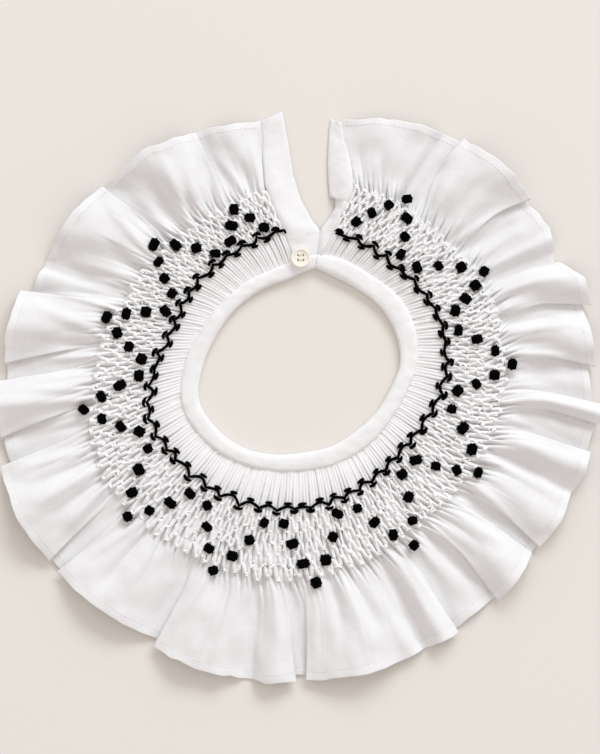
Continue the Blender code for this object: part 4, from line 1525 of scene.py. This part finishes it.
@dataclass
class BlackWaves:
    """The row of black wave stitch: one thread that turns outward sharply and inward softly, an arched
    stitch over each outer turn and a short bar under each inner one."""

    cloth: RuffledCloth
    thread_mm: float = 0.93
    height_mm: float = 5.95
    first_deg: float = 15.4
    below_arch_mm: float = 1.8
    above_bar_mm: float = 1.75
    arch_turn_deg: float = 0.2
    arch_half_mm: float = 2.4
    bar_half_mm: float = 2.0
    waves: int = 48
    inner_share: float = 0.52
    uneven_deg: float = 0.5
    uneven_mm: float = 0.6
    inward_steps: tuple[float, ...] = (0.0, 0.18, 0.4, 0.65, 0.88)
    outward_steps: tuple[float, ...] = (0.12, 0.35, 0.6, 0.82)
    stitch_rise_mm: float = 0.25
    stitch_dip_mm: float = 1.3

    def at(self, angle_deg: float, out_mm: float, rise_mm: float, thick: float) -> list[float]:
        """A point of thread at a distance outside the plan's wave line."""
        wave = float(self.cloth.plan.value("wave_mm", np.array(angle_deg)))
        return [*self.cloth.plan.place(angle_deg, wave + out_mm, self.height_mm + rise_mm), thick]

    def turns(self, noise: np.random.Generator) -> list[Wave]:
        """The waves, evenly spread between the stations apart from what is uneven in handwork.

        Args:
            noise: the source of what is uneven.

        Returns:
            The waves in order.
        """
        numbers = [station.number for station in WAVE_STATIONS]
        angles = [station.angle_deg for station in WAVE_STATIONS]
        outer = [station.outer_mm for station in WAVE_STATIONS]
        inner = [station.inner_mm for station in WAVE_STATIONS]
        found = []
        for number in range(self.waves):
            turn = number + self.inner_share
            found.append(Wave(
                float(np.interp(number, numbers, angles)) + noise.normal(0.0, self.uneven_deg),
                float(np.interp(number, numbers, outer)) + noise.normal(0.0, self.uneven_mm),
                float(np.interp(turn, numbers, angles)) + noise.normal(0.0, self.uneven_deg),
                float(np.interp(turn, numbers, inner)) + noise.normal(0.0, self.uneven_mm),
            ))
        return found

    def line(self, waves: list[Wave], noise: np.random.Generator) -> np.ndarray:
        """The long thread's path.

        Args:
            waves: the turns that it takes.
            noise: the source of its uneven height and thickness.

        Returns:
            Rows of x, y, z and thickness.
        """
        path = [self.at(self.first_deg, -0.4, -1.0, 0.7)]
        for number, wave in enumerate(waves):
            outer = wave.outer_mm - self.below_arch_mm
            inner = wave.inner_mm + self.above_bar_mm
            for t in self.inward_steps:
                angle = wave.outer_deg + (wave.inner_deg - wave.outer_deg) * t
                out = outer + (inner - outer) * math.sin(math.pi / 2 * t)
                path.append(self.at(angle, out, noise.normal(0.0, 0.1), noise.uniform(0.88, 1.12)))
            if number + 1 == len(waves):
                break
            after = waves[number + 1]
            outer = after.outer_mm - self.below_arch_mm
            for t in self.outward_steps:
                angle = wave.inner_deg + (after.outer_deg - wave.inner_deg) * t
                out = outer + (inner - outer) * math.cos(math.pi / 2 * t)
                path.append(self.at(angle, out, noise.normal(0.0, 0.1), noise.uniform(0.88, 1.12)))
        path.append(self.at(waves[-1].inner_deg, waves[-1].inner_mm, -1.0, 0.7))
        return np.array(path)

    def short(
        self, angle_deg: float, out_mm: float, half_mm: float, shape: tuple[StitchPoint, ...],
        noise: np.random.Generator,
    ) -> np.ndarray:
        """One short stitch.

        Args:
            angle_deg: its middle's angle.
            out_mm: its middle's distance outside the plan's wave line.
            half_mm: half its length.
            shape: its points.
            noise: the source of what is uneven.

        Returns:
            Rows of x, y, z and thickness.
        """
        wave = float(self.cloth.plan.value("wave_mm", np.array(angle_deg)))
        half = math.degrees(half_mm * noise.uniform(0.88, 1.12) / wave)
        slant = noise.normal(0.0, 0.15)
        size = noise.uniform(0.9, 1.12)
        path = []
        for point in shape:
            out = out_mm + point.off_mm + slant * point.along
            rise = self.stitch_rise_mm - self.stitch_dip_mm * abs(point.along) ** 4
            path.append(self.at(angle_deg + half * point.along, out, rise, point.thick * size))
        return np.array(path)

    def build(self) -> bpy.types.Object:
        """Makes the wave row.

        Returns:
            The piece, dressed.
        """
        noise = np.random.default_rng(5)
        waves = self.turns(noise)
        paths = [self.line(waves, noise)]
        for wave in waves:
            outer_deg = wave.outer_deg + self.arch_turn_deg
            paths.append(self.short(outer_deg, wave.outer_mm, self.arch_half_mm, OUTER_TURN_STITCH, noise))
        for wave in waves[:-1]:
            place = wave.inner_deg, wave.inner_mm
            paths.append(self.short(*place, self.bar_half_mm, INNER_TURN_STITCH, noise))
        piece = threads("black_wave_thread", paths, self.thread_mm * MM, sides=2)
        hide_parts("wave_stitch")
        return dress(piece, BLACK_THREAD.material())


@dataclass
class BlackKnots:
    """The black knots of the points, each a few turns of thread over two pleats."""

    plan: CollarPlan
    turns: int = 5
    half_wide_mm: float = 2.45
    half_deep_mm: float = 2.6
    thread_mm: float = 0.75
    height_mm: float = 6.0
    squash: float = 0.68
    bow: float = 0.42

    def places(self) -> list[Point]:
        """Where the knots sit.

        Returns:
            Their places, down both sides of each point.
        """
        found = []
        for index, point in enumerate(V_POINTS):
            steps = LAST_POINT_STEPS if index == len(V_POINTS) - 1 else POINT_STEPS
            for side in (point.left, point.right):
                for step in steps[1:] if side is point.right else steps:
                    angle = point.tip.angle_deg + (side.angle_deg - point.tip.angle_deg) * step
                    radius = point.tip.radius_mm + (side.radius_mm - point.tip.radius_mm) * step
                    found.append(Point(angle, radius))
        return found

    def one(self) -> bpy.types.Mesh:
        """One knot: rings of thread side by side, flattened.

        Returns:
            Its mesh, about the origin.
        """
        offsets = np.linspace(-1.0, 1.0, self.turns) * (self.half_deep_mm - self.thread_mm * 0.6)
        made = []
        for number, offset in enumerate(offsets):
            bow = 1.0 - self.bow * (offset / self.half_deep_mm) ** 2
            bpy.ops.mesh.primitive_torus_add(
                major_segments=12, minor_segments=6, major_radius=self.half_wide_mm * bow * MM,
                minor_radius=self.thread_mm * MM, location=(0.15 * MM * (-1) ** number, offset * MM, 0.0),
                rotation=(math.pi / 2, 0.0, 0.0),
            )
            made.append(bpy.context.view_layer.objects.active)
        make_active(made[0])
        for ring in made[1:]:
            ring.select_set(True)
        bpy.ops.object.join()
        whole = bpy.context.view_layer.objects.active
        bpy.ops.object.transform_apply(location=True, rotation=True, scale=True)
        mesh = whole.data.copy()
        bpy.data.objects.remove(whole)
        mesh.transform(Matrix.Diagonal((1.0, 1.0, self.squash, 1.0)))
        return mesh

    def build(self) -> bpy.types.Object:
        """Copies the knot to every place, each one a little different.

        Returns:
            The knots as one piece, dressed.
        """
        pattern = self.one()
        noise = np.random.default_rng(3)
        whole = bmesh.new()
        for knot in self.places():
            place = self.plan.place(knot.angle_deg, knot.radius_mm, self.height_mm)
            turn = -math.radians(knot.angle_deg) + noise.normal(0.0, 0.35)
            size = noise.uniform(0.96, 1.18)
            stretch = noise.uniform(0.86, 1.18)
            shape = Matrix.Diagonal((size * stretch, size / stretch, size, 1.0))
            copy = pattern.copy()
            copy.transform(Matrix.Translation(Vector(place)) @ Matrix.Rotation(turn, 4, "Z") @ shape)
            whole.from_mesh(copy)
            bpy.data.meshes.remove(copy)
        mesh = bpy.data.meshes.new("black_knots")
        whole.to_mesh(mesh)
        whole.free()
        return dress(linked("black_knots", mesh), BLACK_THREAD.material())


@dataclass
class HemStitching:
    """The running stitches that hold the hem's fold."""

    cloth: RuffledCloth
    stitch_mm: float = 1.9
    gap_mm: float = 1.0
    first_mm: float = 2.0
    clear_mm: float = 0.02
    thread_mm: float = 0.2

    def build(self) -> bpy.types.Object:
        """Lays the stitches along the hem, just over the cloth.

        Returns:
            The piece, dressed.
        """
        over = (self.cloth.wall_mm + self.clear_mm) * MM
        line = self.cloth.grid[self.cloth.stitch_row] + self.cloth.normals()[self.cloth.stitch_row] * over
        run = np.concatenate([[0.0], np.cumsum(np.linalg.norm(np.diff(line, axis=0), axis=1))])
        paths = []
        start = self.first_mm * MM
        while start + self.stitch_mm * MM < run[-1]:
            at = start + np.linspace(0.0, 1.0, 3) * self.stitch_mm * MM
            places = np.stack([np.interp(at, run, line[:, k]) for k in range(3)], axis=1)
            paths.append(np.concatenate([places, [[0.8], [1.1], [0.8]]], axis=1))
            start += (self.stitch_mm + self.gap_mm) * MM
        piece = threads("hem_stitches", paths, self.thread_mm * MM, sides=0)
        return dress(piece, SEWING_THREAD.material())


def closed_strip(name: str, sections: np.ndarray, uv_scale: tuple[float, float]) -> bpy.types.Object:
    """A closed tube through sections of the same number of points, with its two ends filled.

    Args:
        name: the piece's name.
        sections: the points of each section, in order round it.
        uv_scale: metres of cloth along and round it.

    Returns:
        The piece, without a material.
    """
    count, size = sections.shape[:2]
    index = np.arange(count * size).reshape(count, size)
    after = np.roll(index, -1, axis=1)
    faces = np.stack([index[:-1], after[:-1], after[1:], index[1:]], axis=-1).reshape(-1, 4).tolist()
    faces.append(index[0][::-1].tolist())
    faces.append(index[-1].tolist())
    along = np.linspace(0.0, uv_scale[0], count)
    round_it = np.linspace(0.0, uv_scale[1], size)
    uv = np.stack(np.broadcast_arrays(along[:, None], round_it[None, :]), axis=-1)
    piece = cloth_piece(name, sections.reshape(-1, 3), faces, uv.reshape(-1, 2), np.ones(count * size))
    shape = bmesh.new()
    shape.from_mesh(piece.data)
    bmesh.ops.recalc_face_normals(shape, faces=shape.faces)
    if shape.calc_volume(signed=True) < 0:
        bmesh.ops.reverse_faces(shape, faces=shape.faces)
    shape.to_mesh(piece.data)
    shape.free()
    return piece


@dataclass
class Neckband:
    """The bias strip folded over the neck edge, with faint puckers along its seam."""

    plan: CollarPlan
    start_deg: float = 9.235
    end_deg: float = 369.22
    sections: int = 420
    crown_mm: float = 4.45
    crown_uneven_mm: float = 0.25
    drag_mm: float = 0.16
    puckers: int = 95
    pucker_mm: float = 0.2
    sway_mm: float = 0.3
    broad_mm: float = 0.18
    over_mm: float = 0.45
    flat_m: tuple[float, float] = (0.385, 0.022)
    round_m: float = 0.04

    def build(self) -> bpy.types.Object:
        """Makes the band as one rounded closed strip.

        Returns:
            The piece, dressed.
        """
        angle = np.linspace(self.start_deg, self.end_deg, self.sections)
        neck = self.plan.value("neck_mm", angle)
        width = self.plan.value("band_mm", angle) - neck + self.over_mm
        noise = np.random.default_rng(9)
        knots = np.linspace(0.0, 1.0, self.puckers)
        spread = np.linspace(0.0, 1.0, self.sections)
        pucker = uneven(spread, self.puckers, self.pucker_mm, noise)
        sway = np.interp(spread, knots[::4], noise.normal(0.0, self.sway_mm, len(knots[::4])))
        broad = np.interp(spread, knots[::5], noise.normal(0.0, self.broad_mm, len(knots[::5])))
        crown = self.crown_mm + self.crown_uneven_mm * np.sin(spread * 41.0) * np.sin(spread * 17.0 + 1.0)
        pull = self.drag_mm * (0.55 + 0.45 * np.sin(spread * 23.0))
        places = []
        for corner in BAND_SECTION:
            out = width * corner.width_share + corner.across_mm + sway * corner.sway
            height = corner.height_mm + crown * corner.on_crown
            height = height + pucker * corner.pucker + broad * corner.broad
            height = height + pull * corner.drag * np.sin(spread * 205.0 + corner.drag_turn)
            places.append(self.plan.place(angle, neck + out, height))
        piece = closed_strip("neckband_binding", np.stack(places, axis=1), (self.flat_m[0], self.round_m))
        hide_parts("neckband")
        dress(piece, BINDING.material(), len(piece.data.polygons) - 2)
        return piece


@dataclass
class Placket:
    """A facing from the ruffle's end to the edge of the opening, folded double along that edge."""

    plan: CollarPlan
    node: str
    rows: tuple[PlacketRow, ...]
    end_column: str
    column: int
    cloth: RuffledCloth
    flat_m: tuple[float, float]
    seam_mm: float = -0.7
    clear_mm: float = 0.02
    wall_mm: float = 1.1
    lines: int = 96
    round_m: tuple[float, float] = (0.085, 0.04)
    crumples: tuple[tuple[int, float], ...] = ((9, 0.35), (17, 0.22), (30, 0.12))

    def value(self, column: str, share: np.ndarray) -> np.ndarray:
        """A column of the rows, eased between them."""
        values = [getattr(row, column) for row in self.rows]
        return np.interp(share, np.linspace(0.0, 1.0, len(values)), values)

    def build(self) -> bpy.types.Object:
        """Makes the facing as one closed strip, rounded at its fold.

        Returns:
            The piece, dressed.
        """
        share = np.linspace(0.0, 1.0, self.lines)
        edge_mm = self.value("edge_mm", share)
        edge = self.plan.place(self.value("edge_deg", share), edge_mm, 0.0) / MM
        seam_mm = self.value("ruffle_mm", share)
        seam = self.plan.place(self.plan.end(self.end_column, seam_mm), seam_mm, 0.0) / MM
        seam = seam + unit(edge - seam) * self.seam_mm
        middle = np.array([self.plan.centre_x_mm, self.plan.centre_y_mm, 0.0])
        end = self.cloth.grid[:, self.column] / MM - middle
        lift = np.interp(seam_mm, np.hypot(end[:, 0], end[:, 1]), end[:, 2]) + self.clear_mm
        reach = self.lines // 12
        window = 2 * reach + 1
        held = np.pad(lift, reach, mode="edge")
        held = np.array([held[k : k + window].max() for k in range(self.lines)])
        lift = np.convolve(np.pad(held, reach, mode="edge"), np.ones(window) / window, mode="valid")
        edge_lift = self.value("lift_mm", share)
        noise = np.random.default_rng(21)
        waves = [uneven(share, count, high, noise) for count, high in self.crumples]
        points = []
        for t, up in FACING_SECTION:
            base = lift * (1.0 - t**1.6) + edge_lift * t * t
            place = seam + (edge - seam) * t
            crumple = waves[0] * math.sin(math.pi * t) + waves[1] * math.sin(2 * math.pi * t)
            crumple = crumple + waves[2] * math.sin(3 * math.pi * t + 0.6) * min(t * 6, 1.0)
            height = base + up * self.wall_mm + (crumple if up > 0.5 else 0.0)
            height = np.maximum(height, self.clear_mm)
            points.append(np.stack([place[:, 0], place[:, 1], height], axis=1) * MM)
        piece = closed_strip(self.node + "_facing", np.stack(points, axis=1), self.round_m)
        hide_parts(self.node)
        dress(piece, FACING.material(), len(piece.data.polygons) - 2)
        return piece


@dataclass
class Button:
    """The neck's button: a turned disc with a raised rim, four holes and its sewing thread."""

    plan: CollarPlan
    angle_deg: float = 0.4
    centre_mm: float = 62.5
    radius_mm: float = 5.75
    height_mm: float = 2.8
    base_mm: float = 4.5
    hole_mm: float = 0.68
    offset_mm: float = 2.05
    thread_mm: float = 0.17
    bar_spread_mm: float = 0.16
    drill_m: float = 0.02
    soft_edge_mm: float = 0.12
    sharp_deg: float = 35.0
    turning: tuple[tuple[float, float], ...] = (
        (1.24, 0.5), (1.0, 0.2), (0.88, 0.0), (0.88, -0.05), (0.92, -0.16), (0.8, -0.04),
    )
    sewn: tuple[tuple[float, float], ...] = (
        (-1.0, 0.3), (-0.92, 2.0), (-0.6, 2.3), (0.6, 2.3), (0.92, 2.0), (1.0, 0.3),
    )

    def centre(self) -> Vector:
        """The middle of the button's underside."""
        return Vector(self.plan.place(self.angle_deg, self.centre_mm, self.base_mm))

    def edit(self, piece: bpy.types.Object, test: Callable[[bmesh.types.BMFace], bool]) -> None:
        """Selects faces of a piece that is in edit mode.

        Args:
            piece: the piece.
            test: says of a face whether it is picked.
        """
        shape = bmesh.from_edit_mesh(piece.data)
        for face in shape.faces:
            face.select_set(bool(test(face)))
        shape.select_flush_mode()
        bmesh.update_edit_mesh(piece.data)

    def build(self) -> list[bpy.types.Object]:
        """Turns the disc, drills it and sews it on.

        Returns:
            The disc and its thread, dressed.
        """
        centre = self.centre()
        bpy.ops.object.select_all(action="DESELECT")
        bpy.ops.mesh.primitive_cylinder_add(
            vertices=64, radius=self.radius_mm * 0.8 * MM, depth=self.height_mm * 0.3 * MM,
            location=centre + Vector((0.0, 0.0, self.height_mm * 0.15 * MM)),
        )
        disc = bpy.context.view_layer.objects.active
        disc.name = disc.data.name = "cream_button"
        bpy.ops.object.transform_apply(location=True, rotation=True, scale=True)
        bpy.ops.object.mode_set(mode="EDIT")
        bpy.ops.mesh.select_mode(type="FACE")
        self.edit(disc, lambda face: face.normal.z > 0.9)
        for scale, rise in self.turning:
            up = (0.0, 0.0, rise * self.height_mm * MM)
            bpy.ops.mesh.extrude_context_move(TRANSFORM_OT_translate={"value": up})
            bpy.ops.transform.resize(value=(scale, scale, 1.0), center_override=centre)
        bpy.ops.object.mode_set(mode="OBJECT")
        for index in range(4):
            turn = math.radians(45 + 90 * index)
            side = Vector((math.cos(turn), math.sin(turn), 0.0)) * self.offset_mm * MM
            bpy.ops.mesh.primitive_cylinder_add(vertices=20, radius=self.hole_mm * MM, depth=self.drill_m,
                                                location=centre + side)
            drill = bpy.context.view_layer.objects.active
            apply_modifier(disc, "BOOLEAN", operation="DIFFERENCE", object=drill)
            bpy.data.objects.remove(drill)
        apply_modifier(
            disc, "BEVEL", width=self.soft_edge_mm * MM, segments=2, limit_method="ANGLE",
            angle_limit=math.radians(self.sharp_deg),
        )
        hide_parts("button")
        dress(disc, RESIN.material())
        bpy.context.view_layer.update()
        return [disc, self.sewing(centre)]

    def sewing(self, centre: Vector) -> bpy.types.Object:
        """Lays the thread in the holes, two bars side by side.

        Args:
            centre: the middle of the button's underside.

        Returns:
            The piece, dressed.
        """
        paths = []
        reach = self.offset_mm * math.sqrt(0.5)
        for side in (-1.0, 1.0):
            for spread in (-self.bar_spread_mm, self.bar_spread_mm):
                path = []
                for t, rise in self.sewn:
                    place = centre + Vector((reach * t, reach * side + spread, rise)) * MM
                    path.append([*place, 1.0])
                paths.append(np.array(path))
        piece = threads("button_thread", paths, self.thread_mm * MM)
        return dress(piece, BUTTON_THREAD.material())


@dataclass
class Studio:
    """A pale floor, soft light from the far side, and a camera straight above."""

    centre_m: tuple[float, float] = (0.0012, 0.0119)
    view_height_m: float = 0.4524
    distance_m: float = 1.2
    plane_m: float = 0.004
    floor_m: float = 8.0
    floor_below_m: float = 0.0002
    floor_colours: tuple[Colour, Colour] = ((0.758, 0.73, 0.688), (0.775, 0.745, 0.70))
    window_m: tuple[float, float, float] = (2.0, 4.8, 2.92)
    window_size_m: tuple[float, float] = (4.8, 1.8)
    window_watts: float = 270.0
    window_colour: Colour = (0.87, 0.938, 1.0)
    room_colour: Colour = (1.0, 0.94, 0.895)
    room_strength: float = 0.783

    def floor(self) -> None:
        """Lays the pale floor under the collar."""
        bpy.ops.object.select_all(action="DESELECT")
        bpy.ops.mesh.primitive_grid_add(
            x_subdivisions=8, y_subdivisions=8, size=self.floor_m, location=(0.0, 0.0, -self.floor_below_m)
        )
        ground = bpy.context.view_layer.objects.active
        ground.name = "pale_floor"
        made, nodes, shader = new_material(ground.name, {"Roughness": 0.95, "Specular IOR Level": 0.1})
        nodes.mottle(shader, (nodes.add("TexCoord"), "Object"), {"Scale": 2.2}, self.floor_colours)
        ground.data.materials.append(made)

    def window(self) -> None:
        """Hangs the one soft light, which looks at the collar."""
        lamp = bpy.data.lights.new("window", "AREA")
        lamp.shape = "RECTANGLE"
        lamp.size, lamp.size_y = self.window_size_m
        lamp.energy = self.window_watts
        lamp.color = self.window_colour
        holder = linked("window", lamp)
        holder.location = self.window_m
        holder.rotation_euler = (-Vector(self.window_m)).to_track_quat("-Z", "Y").to_euler()

    def camera(self) -> None:
        """Sets the camera above the middle of the picture."""
        data = bpy.data.cameras.new("camera")
        data.sensor_fit = "VERTICAL"
        data.angle_y = 2.0 * math.atan(self.view_height_m / 2.0 / (self.distance_m - self.plane_m))
        data.clip_start = 0.05
        camera = linked("camera", data)
        camera.location = (*self.centre_m, self.distance_m)
        bpy.context.scene.camera = camera

    def build(self) -> None:
        """Makes the whole studio."""
        self.floor()
        self.window()
        world = bpy.data.worlds.new("soft_room")
        world.use_nodes = True
        sky = world.node_tree.nodes["Background"]
        sky.inputs["Color"].default_value = (*self.room_colour, 1.0)
        sky.inputs["Strength"].default_value = self.room_strength
        bpy.context.scene.world = world
        bpy.context.scene.view_settings.view_transform = "Standard"
        bpy.context.scene.view_settings.exposure = 0.0
        self.camera()


def main() -> None:
    """Dresses the collar piece by piece, and sets the studio round it."""
    logging.basicConfig(level=logging.INFO, format="%(name)s: %(message)s")
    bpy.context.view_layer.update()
    plan = CollarPlan()
    cloth = RuffledCloth(plan)
    ruffle = cloth.build()
    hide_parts("smocked_ruffle")
    dress(ruffle, COTTON.material(), cloth.surface_faces())
    smocking = WhiteSmocking(cloth).build()
    wave = BlackWaves(cloth).build()
    knots = BlackKnots(plan).build()
    hem = HemStitching(cloth).build()
    Neckband(plan).build()
    Placket(plan, "placket_right", PLACKET_RIGHT, "start_deg", 1, cloth, (0.083, 0.0108)).build()
    Placket(plan, "placket_left", PLACKET_LEFT, "end_deg", -2, cloth, (0.092, 0.0185)).build()
    Button(plan).build()
    Studio().build()
    bpy.context.view_layer.update()


if __name__ == "__main__":
    main()
